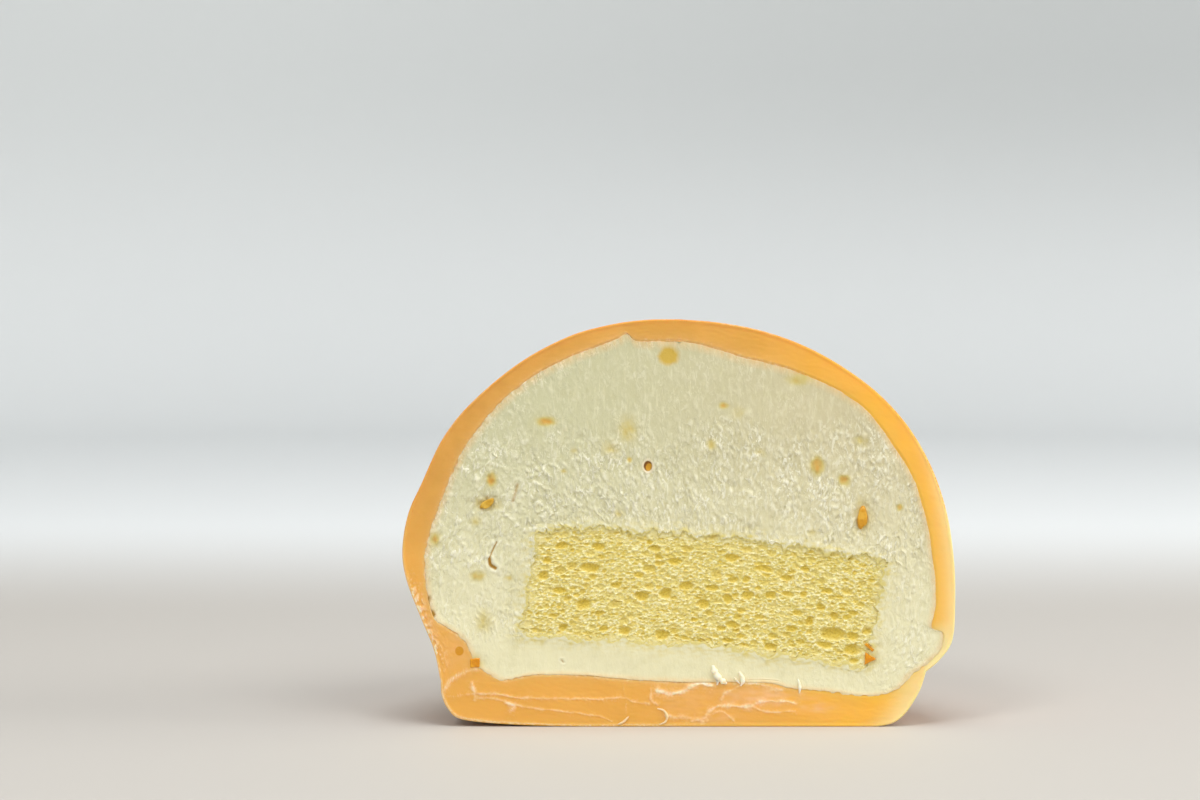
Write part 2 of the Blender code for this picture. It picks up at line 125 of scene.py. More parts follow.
# Largest open cells of the sponge's cut: across, up, half width, half height.
LARGE_CELLS = [
    (20.9, 12.7, 1.63, 0.82), (23.6, 10.5, 1.22, 0.61), (11.5, 21.5, 1.29, 0.41), (-12.1, 21.7, 1.22, 0.61),
    (-11.0, 24.6, 0.82, 0.54), (-12.9, 16.8, 0.95, 0.68), (-5.0, 17.8, 0.95, 0.61), (-1.8, 18.2, 0.75, 0.75),
    (1.0, 19.2, 1.02, 0.54), (-0.7, 22.6, 0.95, 0.41), (3.4, 16.8, 0.82, 0.54), (-2.2, 12.6, 0.88, 0.54),
    (-7.3, 13.1, 0.82, 0.54), (-10.2, 13.4, 0.61, 0.41), (-15.7, 13.5, 0.68, 0.48), (-15.9, 24.7, 0.82, 0.48),
    (-18.4, 20.6, 0.82, 0.54), (4.4, 25.8, 0.95, 0.41), (7.2, 23.1, 0.95, 0.48), (4.5, 19.0, 0.82, 0.41),
    (6.6, 17.5, 0.75, 0.54), (9.3, 17.9, 0.75, 0.48), (12.6, 17.9, 0.68, 0.48), (17.0, 18.1, 0.48, 0.41),
    (20.2, 18.5, 0.68, 0.41), (23.3, 23.1, 0.68, 0.48), (19.2, 16.4, 0.54, 0.48), (17.8, 14.4, 0.54, 0.61),
    (21.2, 15.1, 0.61, 0.54), (23.6, 15.5, 0.75, 0.41), (23.6, 12.4, 0.75, 0.54), (25.5, 13.2, 0.68, 0.54),
    (19.8, 11.2, 1.02, 0.41), (15.4, 13.4, 0.68, 0.41), (7.3, 14.0, 1.02, 0.41), (6.7, 11.8, 0.82, 0.34),
    (12.5, 11.0, 0.88, 0.48), (15.9, 9.2, 0.82, 0.34), (14.6, 20.3, 0.75, 0.41), (-17.8, 22.7, 0.68, 0.41),
    (-16.2, 18.6, 0.82, 0.41), (-8.4, 19.3, 0.68, 0.41), (-5.3, 20.7, 0.61, 0.34),
]
# Smaller cells, thrown into the room that is left: half width, and how often one is tried.
CELL_THROWS = [(0.62, 170), (0.48, 420), (0.37, 1000), (0.27, 2100), (0.18, 4200)]
CELL_ROOM = 1.04
CELL_SEED = 4

# Columns and rows of the cream's cut face, from the skin in to the sponge. The columns end on the slab's
# top right of its seam, right end, floor, left end and the rest of its top, and are as many as the skin's.
CREAM_WALL_STEPS, CREAM_FLOOR_STEPS = 288, 132
SLAB_COLUMNS = (214, 74, 264, 96, 192)
SLAB_SEAM = -3.3
CREAM_ROWS, LIP_ROWS = 96, 7
CREAM_BACK = 0.18  # how far the cream's face lies behind the cut, on average
FIT = 0.06  # clearance between neighbours
CALM_CORNER = (28.6, 25.0, 2.8, 2.8)  # where the torn strokes are faint, by the slab's upper right corner
HEEL_CORNER = (35.2, 13.2)  # the right heel, where the cream hardly laps over the skin

# Soft stains of mango in the cream: across, up, half width, half height, strength.
STAINS = [
    (-18.0, 41.6, 1.09, 0.55, 0.95), (-6.9, 40.5, 1.3, 1.7, 0.42), (-9.2, 37.9, 1.3, 1.0, 0.34),
    (-6.7, 36.4, 0.3, 0.36, 0.7), (-15.6, 34.8, 0.36, 0.36, 0.45), (-14.2, 37.5, 0.5, 0.5, 0.35),
    (-25.4, 33.7, 0.61, 0.82, 0.9), (-27.5, 28.0, 0.8, 0.6, 0.4), (-33.1, 25.6, 0.65, 1.0, 0.6),
    (-27.3, 20.6, 0.9, 0.66, 0.6), (-23.1, 20.3, 0.54, 0.41, 0.5), (-26.5, 14.3, 1.1, 1.5, 0.4),
    (-8.2, 29.0, 0.7, 0.55, 0.35), (6.07, 43.75, 0.55, 0.36, 0.9), (8.0, 42.8, 0.9, 0.8, 0.3),
    (4.3, 38.5, 0.65, 0.75, 0.5), (11.0, 37.5, 0.65, 0.6, 0.3), (18.7, 35.6, 0.82, 1.1, 0.9),
    (22.4, 33.6, 0.7, 0.62, 0.95), (29.9, 29.9, 0.42, 0.42, 0.85), (24.7, 38.9, 1.0, 0.85, 0.35),
    (16.3, 47.3, 1.5, 0.7, 0.7), (18.1, 26.5, 0.65, 0.5, 0.4),
]

# The round slice of mango high in the cream and an open hole lower down: across, up, half width and height.
SLICE = (-1.4, 50.45, 1.45, 1.32)
HOLE = (-4.2, 35.5, 0.55, 0.68)
HOLE_DEPTH, SLICE_DEPTH = 0.45, 0.05
HOLE_LIT_SIDE = (0.18, -0.2)  # from the hole's middle towards the side that the light reaches

# Tears and slits in the cream: the line they follow, their half width, and how deep they look.
TEARS = {
    "hook": ([(-24.7, 25.2), (-25.2, 24.2), (-25.7, 22.9), (-25.6, 22.3)], 0.12, 0.65),
    "hook_end": ([(-25.7, 22.9), (-25.55, 22.1), (-24.9, 21.65)], 0.22, 1.0),
    "slit": ([(-21.9, 33.0), (-22.2, 31.7), (-22.5, 30.8)], 0.32, 0.42),
    "dimple": ([(-27.0, 38.6), (-26.2, 38.4), (-25.5, 38.1)], 0.16, 0.25),
    "nick": ([(-15.9, 9.1), (-15.7, 8.8)], 0.14, 0.5),
    "seat": ([(-34.1, 17.8), (-33.9, 16.2), (-33.3, 15.2)], 0.2, 0.9),
    "gap": ([(13.5, 6.25), (11.6, 6.4), (9.4, 6.4)], 0.07, 0.3),
}

# Bits of mango in the cream: across, up, half width, half height, turn in degrees, how ripe, and corners.
MANGO_BITS = [
    (-26.0, 30.4, 1.12, 0.5, 32, 0.22, 0), (24.9, 28.5, 0.66, 1.55, -3, 0.5, 0),
    (25.8, 9.3, 0.72, 0.72, 57, 0.9, 3), (25.9, 10.85, 0.72, 0.2, -43, 0.8, 4),
    (-27.7, 8.7, 0.66, 0.62, 2, 0.85, 4),
]

BIT_BACK = 0.25  # how far the middle of a bit lies behind the cut

DOUGH_SPOT = (-29.8, 10.35, 0.58, 0.62)  # a bit of mango that shows through the dough

# Marks on the cut dough of the foot: the line, its half width, and how white it is.
MARKS = {
    "long_crease": ([(-31.9, 4.4), (-30.4, 4.2), (-27.2, 4.5), (-23.8, 4.3), (-21.3, 4.0), (-18.1, 3.9),
                     (-13.9, 3.8), (-10.2, 3.8), (-7.5, 3.9), (-6.2, 3.4), (-4.0, 3.2)], 0.16, 0.5),
    "low_crease": ([(-27.2, 3.9), (-24.8, 3.8), (-23.3, 3.3), (-21.3, 2.8), (-19.1, 2.4), (-16.4, 2.1),
                    (-13.9, 1.8), (-11.4, 1.6), (-10.2, 1.2), (-9.0, 0.7)], 0.15, 0.42),
    "lobe": ([(-31.9, 4.9), (-31.2, 6.1), (-29.9, 7.1), (-28.7, 7.6), (-27.6, 7.8)], 0.22, 0.55),
    "cross": ([(-28.1, 5.9), (-27.9, 4.9), (-27.7, 3.7)], 0.25, 0.6),
    "scratch": ([(-7.7, 6.9), (-7.3, 3.7), (-7.3, 1.7)], 0.2, 0.2),
    "smear": ([(-2.8, 5.0), (-1.1, 4.5), (0.7, 4.9), (1.8, 5.6), (3.0, 6.0), (4.3, 5.6)], 0.36, 0.8),
    "trail": ([(1.6, 0.7), (3.3, 1.1), (3.8, 1.6), (5.0, 2.7), (6.6, 2.9), (8.3, 2.8), (9.9, 2.9),
               (11.3, 3.5), (14.1, 3.5), (16.0, 3.2)], 0.26, 0.68),
    "branch": ([(5.8, 3.8), (6.3, 4.6), (7.5, 5.2), (8.6, 5.9), (8.8, 6.8)], 0.24, 0.5),
    "loop": ([(9.9, 2.7), (11.3, 2.1), (13.6, 2.0), (15.8, 2.1)], 0.18, 0.5),
    "edge": ([(9.1, 6.0), (10.5, 5.9), (11.9, 5.7), (13.0, 5.2), (14.1, 5.0)], 0.24, 0.6),
    "low": ([(-1.7, 1.6), (1.6, 1.1), (3.3, 0.7)], 0.3, 0.5),
    "arc": ([(3.8, 0.7), (4.4, 1.6), (5.8, 2.1), (7.2, 1.3), (7.7, 0.4)], 0.13, 0.45),
    "side": ([(-3.8, 5.2), (-3.7, 3.7), (-3.0, 2.9)], 0.2, 0.4),
    "fleck": ([(-23.5, 3.3), (-22.4, 2.8), (-22.8, 2.2)], 0.24, 0.7),
    "drip": ([(16.5, 6.3), (16.5, 5.2), (16.4, 4.4)], 0.22, 0.4),
}

SKIN_LEDGE = 0.16  # how far the dough lies back where the cream laps over it

# Curls of cream that stand out from the cut: the line, and half the thickness in its middle.
CURLS = {
    "hook": ([(-2.9, 2.5), (-2.0, 2.2), (-1.6, 1.4), (-1.8, 0.7), (-2.6, 0.3)], 0.17),
    "spike": ([(-6.8, 1.4), (-7.5, 0.7), (-8.3, 0.3)], 0.16),
    "left_curl": ([(4.6, 8.4), (4.9, 7.5), (5.5, 6.6), (6.5, 5.9)], 0.42),
    "left_tip": ([(5.0, 6.9), (5.3, 6.3), (5.2, 5.7)], 0.2),
    "right_curl": ([(8.2, 7.5), (8.6, 6.8), (8.7, 6.2), (8.4, 5.6)], 0.28),
    "right_tip": ([(7.5, 6.8), (7.9, 6.3), (8.3, 5.9)], 0.15),
    "far_curl": ([(16.2, 6.5), (16.45, 5.6), (16.4, 4.6)], 0.2),
}
CURL_STEPS, CURL_SIDES = 22, 12

# Faint films of cream over the cut dough: across, up, half width, half height, strength.
FILMS = [
    (11.0, 4.1, 5.4, 1.4, 0.75), (1.0, 3.6, 3.4, 1.8, 0.3), (-30.0, 11.0, 3.0, 3.2, 0.34),
    (-34.0, 13.5, 1.2, 5.0, 0.5), (18.5, 2.6, 2.2, 0.6, 0.6), (5.0, 1.4, 3.4, 0.8, 0.4),
]

GRAINS = 520
GRAIN_SIZES = (0.05, 0.17)
GRAIN_SEED = 21

# The camera: the frame's width and the focal length in pixels, its tilt, and its place from the cut.
FRAME_WIDTH = 1200
SENSOR = 36.0
FOCAL_PIXELS = 2576
PITCH = math.radians(2.9)
CAMERA_BACK, CAMERA_UP, CAMERA_ASIDE = 347.6, 62.1, -10.7

# The stage, in millimetres, and how far back in metres its floor turns pale.
FLOOR_RADIUS, WALL_ROUND, WALL_TOP = 620, 200, 620
BEND_STEPS, STAGE_SIDES = 12, 96
FAR_TONE_START, FAR_TONE_END = 0.09, 0.27

# Soft square lamps aimed at the cake: place and size in metres, power, and colour.
LAMPS = {
    "window": ((0.75, -0.05, 0.3), 0.35, 2.6, (1.0, 0.98, 0.95)),
    "ceiling": ((0.0, -0.12, 0.8), 0.4, 3.35, (1.0, 1.0, 1.0)),
    "front_left": ((-0.3, -0.45, 0.6), 0.2, 1.7, (1.0, 0.99, 0.97)),
    "front_right": ((0.35, -0.4, 0.6), 0.35, 2.0, (1.0, 0.99, 0.97)),
}
LAMP_AIM = (0, 0, 0.025)


def smooth_through(points, steps, fineness=16):
    """steps + 1 points, evenly spaced along a smooth curve through the given ones."""
    knots = np.array(points, float)
    knots = np.vstack([2 * knots[0] - knots[1], knots, 2 * knots[-1] - knots[-2]])
    share = np.linspace(0, 1, fineness, endpoint=False)[:, None]
    dense = []
    for a, b, c, d in zip(knots, knots[1:], knots[2:], knots[3:]):
        bend = (2 * a - 5 * b + 4 * c - d) * share**2 + (3 * b - a - 3 * c + d) * share**3
        dense.append(0.5 * (2 * b + (c - a) * share + bend))
    dense = np.vstack([*dense, knots[-2][None]])
    reach = np.concatenate([[0], np.cumsum(np.linalg.norm(np.diff(dense, axis=0), axis=1))])
    wanted = np.linspace(0, reach[-1], steps + 1)
    return np.stack([np.interp(wanted, reach, dense[:, k]) for k in range(dense.shape[1])], axis=1)


def joined(*stretches):
    """Stretches of outline as one, with their shared ends taken once."""
    return np.vstack([stretches[0], *[stretch[1:] for stretch in stretches[1:]]])


def skin_side(dome, foot):
    """An outside profile from the crown to the middle of the sole."""
    sole = np.linspace(foot[-1], (0, 0), SOLE_STEPS + 1)
    return joined(smooth_through(dome, DOME_STEPS), smooth_through(foot, FOOT_STEPS), sole)


def lining_sides(wall_steps, floor_steps):
    """The inside profiles on the right, at the back and on the left, from under the crown to the floor."""
    return [
        joined(smooth_through(wall, wall_steps), smooth_through(floor, floor_steps))
        for wall, floor in ((RIGHT_WALL, RIGHT_FLOOR), (BACK_WALL, BACK_FLOOR), (LEFT_WALL, LEFT_FLOOR))
    ]


def turned(right, back, left, rows, crowding=0.93):
    """Points of a half shell, a row for each turn from right to left round the back, crowded at the cut."""
    share = np.linspace(0, 1, rows + 1)
    turn = math.pi * (share - crowding * np.sin(2 * math.pi * share) / (2 * math.pi))[:, None]
    side = np.where((turn < math.pi / 2)[..., None], right, left)
    away = (np.sin(turn) ** 2)[..., None]
    profile = side * (1 - away) + back * away
    return turn, profile


def skin_lining(wall_steps, floor_steps):
    """The inside of the skin as points of a half shell."""
    return in_space(*turned(*lining_sides(wall_steps, floor_steps), LINING_TURNS, 0.5))


def in_space(turn, profile):
    """Points of a half shell in the model's frame, before its cut is moved to its real place."""
    radius, height = profile[..., 0], profile[..., 1]
    across, behind = radius * np.cos(turn), radius * np.sin(turn)
    behind[0] = behind[-1] = 0
    return np.stack([across, behind, height], axis=-1)


def pairs(across, up):
    """Places on the cut as one array of across and up."""
    return np.stack([across, up], axis=-1)


def bell(values):
    """1 at 0, falling smoothly to nothing on both sides."""
    return np.exp(-(values**2))


def lumps(points, size, seed=0.0):
    """Soft noise in about -1 to 1 at each point, with lumps of the given size along each axis."""
    spots = points.reshape(-1, points.shape[-1]) / np.array(size) + seed
    if spots.shape[1] == 2:
        spots = np.column_stack([spots[:, 0], np.full(len(spots), 5.3 + seed), spots[:, 1]])
    return np.array([noise.noise(Vector(spot)) for spot in spots]).reshape(points.shape[:-1])


def rise(values, low, high):
    """0 below low and 1 above high, with a smooth step between."""
    share = np.clip((values - low) / (high - low), 0, 1)
    return share * share * (3 - 2 * share)


def swollen(turn, profile):
    """The skin's profile with soft dents and gathered pleats, which die away at cut, crown and sole."""
    radius, height = profile[..., 0], profile[..., 1]
    away = np.sin(turn) ** 2
    spots = in_space(turn, profile)
    dent = SWELL * lumps(spots, (SWELL_SPAN,) * 3) * away
    dent *= np.minimum(1, height / 8) * np.minimum(1, radius / 12)
    low = np.maximum(0, 1 - height / PLEAT_TOP) * np.minimum(1, height / 1.5)
    fold = np.abs(np.sin(PLEATS * turn / 2 + 2 * lumps(spots, (SWELL_SPAN / 2,) * 3)))
    made = profile.copy()
    made[..., 0] = radius + dent - PLEAT_DEPTH * low * away * fold
    return made


def outward(points):
    """The outward direction at each point of a half shell."""
    normals = np.cross(np.gradient(points, axis=0), np.gradient(points, axis=1))
    length = np.linalg.norm(normals, axis=-1, keepdims=True)
    normals = np.where(length > 1e-9, normals / np.maximum(length, 1e-9), 0)
    normals = normals * np.sign(np.sum(normals * (points - np.array(HEART))))
    normals[:, 0] = (0, 0, 1)
    normals[:, -1] = np.sign(points[:, -1, 2:3] - HEART[2]) * np.array([0, 0, 1])
    for row in (0, -1):
        normals[row, :, 1] = 0
        normals[row] /= np.maximum(np.linalg.norm(normals[row], axis=-1, keepdims=True), 1e-9)
    return normals


def rounded_at_cut(points):
    """The skin's outside with its edge at the cut rounded over."""
    short = np.clip(CUT_ROUND - points[..., 1], 0, None)
    inset = CUT_ROUND - np.sqrt(np.maximum(CUT_ROUND**2 - short**2, 0))
    return points - outward(points) * inset[..., None]


def round_loop(surface):
    """The rim of a half shell as one closed loop: from the crown down the right and up the left."""
    return np.vstack([surface[0], surface[-1][::-1][1:]])


def to_line(across, up, line):
    """The distance from each point to a smooth line through the given ones."""
    path = smooth_through(line, 6 * (len(line) - 1))
    nearest = np.full(across.shape, 1e9)
    for (ax, az), (bx, bz) in zip(path, path[1:]):
        dx, dz = bx - ax, bz - az
        share = np.clip(((across - ax) * dx + (up - az) * dz) / (dx * dx + dz * dz + 1e-12), 0, 1)
        nearest = np.minimum(nearest, np.hypot(across - ax - share * dx, up - az - share * dz))
    return nearest


def soft_spot(across, up, spot):
    """1 in the middle of a soft ellipse and 0 away from it."""
    x, z, wide, high = spot[:4]
    return np.exp(-0.8 * (((across - x) / wide) ** 2 + ((up - z) / high) ** 2))


def add_grid(bm, points, values=None):
    """Adds a grid whose vertices sit at an array of points, with named values on them, 0 unless given."""
    rows, columns = points.shape[:2]
    layers = {
        name: bm.verts.layers.float.get(name) or bm.verts.layers.float.new(name) for name in values or ()
    }
    made = bmesh.ops.create_grid(bm, x_segments=columns - 1, y_segments=rows - 1, size=1)["verts"]
    for vert in made:
        column = round((vert.co.x + 1) / 2 * (columns - 1))
        row = round((vert.co.y + 1) / 2 * (rows - 1))
        vert.co = points[row, column]
        for name, layer in layers.items():
            vert[layer] = values[name][row, column]


def closed(bm):
    """Joins grids that meet, and fills what is still open."""
    bmesh.ops.remove_doubles(bm, verts=bm.verts, dist=WELD)
    bmesh.ops.holes_fill(bm, edges=[edge for edge in bm.edges if edge.is_boundary], sides=0)


def linked(name, data):
    """A new object in the scene that holds the data."""
    made = bpy.data.objects.new(name, data)
    bpy.context.scene.collection.objects.link(made)
    return made


def meshed(name, bm, material):
    """The bmesh as an object in metres, welded, facing out and smooth, with its material."""
    bmesh.ops.remove_doubles(bm, verts=bm.verts, dist=WELD)
    bmesh.ops.recalc_face_normals(bm, faces=bm.faces)
    bmesh.ops.scale(bm, vec=(MM, MM, MM), verts=bm.verts)
    mesh = bpy.data.meshes.new(name)
    bm.to_mesh(mesh)
    bm.free()
    mesh.materials.append(material)
    mesh.shade_smooth()
    mesh.set_sharp_from_angle(angle=SHARP)
    return linked(name, mesh)


def finished(name, bm, material, stands_for=()):
    """The bmesh as a piece of the cake under the root, with the node that it replaces hidden."""
    piece = meshed(name, bm, material)
    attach(piece, "root")
    if stands_for:
        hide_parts(*stands_for)
    return piece


def at_cut(points):
    """The points with the cut moved to its real place."""
    return points + np.array([0, CUT_Y, 0])


def dough_marks(across, up):
    """How white the smears and creases make the cut dough at each point."""
    spots = pairs(across, up)
    broken = 0.85 + 0.4 * lumps(spots, (1.5, 1.0), 3.0) + 0.15 * lumps(spots, (0.4, 0.3), 13.0)
    wander = 0.26 * lumps(spots, (1.6, 1.6), 8.0) + 0.05 * lumps(spots, (0.5, 0.5), 5.0)
    white = np.zeros(across.shape)
    uneven = np.clip(1 + 1.1 * lumps(spots, (1.1, 0.9), 19.0), 0.35, 1.9)
    for line, wide, strength in MARKS.values():
        away = to_line(across + wander, up + 0.7 * wander, line)
        halo = 0.4 * bell(away / (2.4 * wide * uneven))
        mark = strength * np.maximum(bell(away / (wide * uneven)), halo)
        white = np.maximum(white, mark * broken)
    return np.clip(white * 1.15, 0, 1)


def dough_films(across, up):
    """How strongly thin films of cream veil the cut dough at each point."""
    spots = pairs(across, up)
    patchy = np.clip(0.75 + 0.8 * lumps(spots, (1.4, 0.6), 2.0), 0, 1.4)
    veil = [film[4] * soft_spot(across, up, film) for film in FILMS]
    return np.clip(np.maximum.reduce(veil) * patchy, 0, 1)


def painted_glow(across, up, from_edge):
    """How pale the painted glow of light coming through makes the dough: most at its right edge, a little all
    round.
    """
    right = rise(across, 22, 36) * (1 - 0.75 * rise(up, 26, 44))
    heel = rise(across, 24, 31) * (1 - rise(up, 6, 10))
    bulge = rise(across, 32.5, 34.5) * rise(up, 5, 8) * (1 - rise(up, 11, 15))
    left = (1 - rise(across, -30, -24)) * (1 - rise(up, 16, 34))
    reach = 0.14 + 1.2 * right + 2.4 * heel + 4 * bulge
    most = 0.55 * left + 0.85 * np.maximum(right, heel) + 0.15 * bulge
    return np.clip(most * np.exp(-((from_edge / reach) ** 1.5)), 0, 1)


def dough_whiteness(across, up, from_edge, from_cream):
    """How white marks, a film of cream, starch and a painted highlight along the foot's lower edge make the
    cut dough at each point.
    """
    spots = pairs(across, up)
    film = np.exp(-from_cream / 0.3) * (0.35 + 0.9 * lumps(spots, (0.5, 0.5), 9.0))
    film = film * (1 - rise(across, 10, 26))
    dusty = np.exp(-from_edge / 1.4) * (1 - rise(across, -30, -28))
    dusty = dusty * rise(up, 6, 9) * (1 - rise(up, 17, 23))
    dusty = dusty * np.clip(5 * lumps(spots, (0.4, 0.36), 33.0) + 0.2, 0, 1)
    # A painted highlight along the foot's lower edge.
    edge_highlight = bell(from_edge / 0.28) * (1 - rise(up, 5.5, 8)) * (1 - rise(across, -8, 8))
    return np.clip(np.maximum.reduce([dough_marks(across, up), film, dusty, 0.65 * edge_highlight]), 0, 1)


def make_skin(material):
    """The dough skin, with a rounded edge at the cut and marks on its cut face."""
    turn, profile = turned(
        skin_side(RIGHT_DOME, RIGHT_FOOT),
        skin_side(BACK_DOME, BACK_FOOT),
        skin_side(LEFT_DOME, LEFT_FOOT),
        TURNS,
    )
    outside = rounded_at_cut(in_space(turn, swollen(turn, profile)))
    lining = skin_lining(WALL_STEPS, FLOOR_STEPS)
    lining[[0, -1], :, 1] = SKIN_LEDGE
    rim, hole = round_loop(outside), round_loop(lining)
    share = np.linspace(0, 1, RIM_ROWS + 1)[:, None, None]
    face = rim * (1 - share) + hole * share
    across, up = face[..., 0], face[..., 2]
    spots = pairs(across, up)
    from_edge = np.linalg.norm((face - rim)[..., [0, 2]], axis=-1)
    from_cream = np.linalg.norm((face - hole)[..., [0, 2]], axis=-1)
    white = dough_whiteness(across, up, from_edge, from_cream)
    veil = np.maximum(dough_films(across, up), 0.5 * np.exp(-from_cream / 0.5) * (1 - rise(across, 8, 20)))
    ripple = 0.07 * lumps(spots, (5.0, 2.5)) + 0.02 * lumps(spots, (0.9, 0.35), 6.0)
    torn = np.clip(lumps(spots, (0.35, 0.3), 17.0), -0.5, 0.5)
    flat = (0.1 + ripple - 0.16 * white * (1 + torn)) * rise(from_edge, 0, 0.5)
    ledge = rise(from_cream, 0.0, 0.45)
    face[..., 1] = flat * ledge + SKIN_LEDGE * (1 - ledge)
    near = (1 - rise(outside[..., 1], 0.1, 1.6)) * (1 - 0.85 * rise(outside[..., 2], 25, 34))
    # Painted glow of light coming through the dough near its edge, on the outside by the cut and on the cut
    # face.
    glow = painted_glow(outside[..., 0], outside[..., 2], outside[..., 1] * 0.4)
    painted_through_glow = painted_glow(across, up, from_edge)
    bm = bmesh.new()
    add_grid(bm, at_cut(outside), {"cut": near, "painted_through_glow": glow * near})
    add_grid(bm, at_cut(lining), {"cut": np.ones(lining.shape[:2])})
    add_grid(bm, at_cut(face), {"cut": np.ones(white.shape), "white": white, "painted_through_glow": painted_through_glow, "veil": veil})
    return finished("dough_skin", bm, material, ["mochi_skin"])


def slab_to_cut(a, b):
    """Points of the flat slab, taken to where its droop, slant and tilt carry them."""
    x = a + SPONGE_SLANT * b
    z = b - SPONGE_DROOP * (a / SPONGE_RADIUS) ** 2
    cos, sin = math.cos(SPONGE_TILT), math.sin(SPONGE_TILT)
    return SPONGE_CENTRE[0] + x * cos + z * sin, SPONGE_CENTRE[1] - x * sin + z * cos


def slab_sides(a, b, front, gap=0.0):
    """Rows of points from the slab's rim back to its far end, which stand off it by up to two gaps."""
    back = SPONGE_DEPTH * np.sin(np.linspace(0, 1, SPONGE_ROWS + 1) * SPONGE_BACK_TURN)[:, None]
    narrowing = np.sqrt(1 - (back / SPONGE_DEPTH) ** 2)
    across, up = slab_to_cut(a * narrowing, b * np.ones_like(narrowing))
    ease = 1 - back / SPONGE_DEPTH
    return np.stack([across, back + 2 * gap * (1 - ease) + front * ease, up], axis=-1)


def slab_rounded(a, b, grow=0.0):
    """Points of the slab's rectangle with its corners rounded and its edge made ragged."""
    near_a = np.clip(a, SPONGE_RIM - SPONGE_RADIUS, SPONGE_RADIUS - SPONGE_RIM)
    half = SPONGE_THICKNESS / 2
    near_b = np.clip(b, SPONGE_RIM - half, half - SPONGE_RIM)
    da, db = a - near_a, b - near_b
    reach = np.hypot(da, db)
    capped = np.where(reach > SPONGE_RIM, SPONGE_RIM / np.maximum(reach, 1e-9), 1.0)
    spots = pairs(near_a + da * capped, near_b + db * capped)
    ragged = 0.55 * lumps(spots, (2.2, 2.2), 1.0) + 0.3 * lumps(spots, (0.8, 0.8), 4.0)
    edge = np.clip(reach / SPONGE_RIM, 0, 1) ** 2
    out = edge * (ragged + grow) / np.maximum(reach * capped, 1e-9)
    out = np.where(reach > 1e-6, out, 0)
    return near_a + da * capped * (1 + out), near_b + db * capped * (1 + out)


def pack_cells():
    """Cells of the crumb in the flat slab: middle, half width, half height, and how deep and golden."""
    draw = random.Random(CELL_SEED)
    cells = np.zeros((sum(tries for _, tries in CELL_THROWS) + len(LARGE_CELLS), 5))
    count = 0
    cos, sin = math.cos(SPONGE_TILT), math.sin(SPONGE_TILT)
    for x, z, wide, high in LARGE_CELLS:
        dx, dz = x - SPONGE_CENTRE[0], z - SPONGE_CENTRE[1]
        b = dx * sin + dz * cos
        a = dx * cos - dz * sin
        b += SPONGE_DROOP * (a / SPONGE_RADIUS) ** 2
        cells[count] = a - SPONGE_SLANT * b, b, wide, high, 1.0
        count += 1
    for size, tries in CELL_THROWS:
        for _ in range(tries):
            wide = size * draw.uniform(0.8, 1.25)
            high = wide * draw.uniform(0.36, 0.7)
            a = draw.uniform(-1, 1) * SPONGE_RADIUS
            b = draw.uniform(-1, 1) * SPONGE_THICKNESS / 2
            x, z, widths, heights, _ = cells[:count].T
            if np.hypot((x - a) / (widths + wide), (z - b) / (heights + high)).min() > CELL_ROOM:
                cells[count] = a, b, wide, high, 0.25 + 0.75 * draw.random() ** 1.5
                count += 1
    return cells[:count]


def open_cells(a, b):
    """How deep the crumb's cells are at each point, how golden (painted light scattered inside them), and how
    much of it is wall between them.
    """
    spots = pairs(a, b)
    bent_a = a + 0.28 * lumps(spots, (1.3, 0.9), 2.0) + 0.16 * lumps(spots, (0.42, 0.34), 9.0)
    bent_b = b + 0.2 * lumps(spots, (1.4, 0.9), 7.0) + 0.11 * lumps(spots, (0.42, 0.34), 5.0)
    first = np.full(a.shape, 9.0)
    size, gold = np.zeros(a.shape), np.zeros(a.shape)
    for x, z, wide, high, deep in pack_cells():
        columns = np.flatnonzero(np.abs(a[0] - x) < wide * 2.4 + 0.3)
        rows = np.flatnonzero(np.abs(b[:, 0] - z) < high * 2.4 + 0.3)
        if not len(columns) or not len(rows):
            continue
        window = np.ix_(rows, columns)
        away = np.hypot((bent_a[window] - x) / wide, (bent_b[window] - z) / high)
        nearer = away < first[window]
        first[window] = np.minimum(first[window], away)
        size[window] = np.where(nearer, high, size[window])
        gold[window] = np.where(nearer, deep, gold[window])
    bowl = np.sqrt(np.clip(1 - (first / 1.15) ** 2, 0, 1))
    return 0.64 * size * bowl * (0.3 + 0.7 * gold), gold * rise(bowl, 0.1, 0.85), rise(first, 0.9, 1.5)


def grid_rim(grid):
    """The values round a grid's edge, as a loop that ends where it starts."""
    return np.concatenate([grid[-1, :-1], grid[::-1, -1][:-1], grid[0, ::-1][:-1], grid[:, 0]])


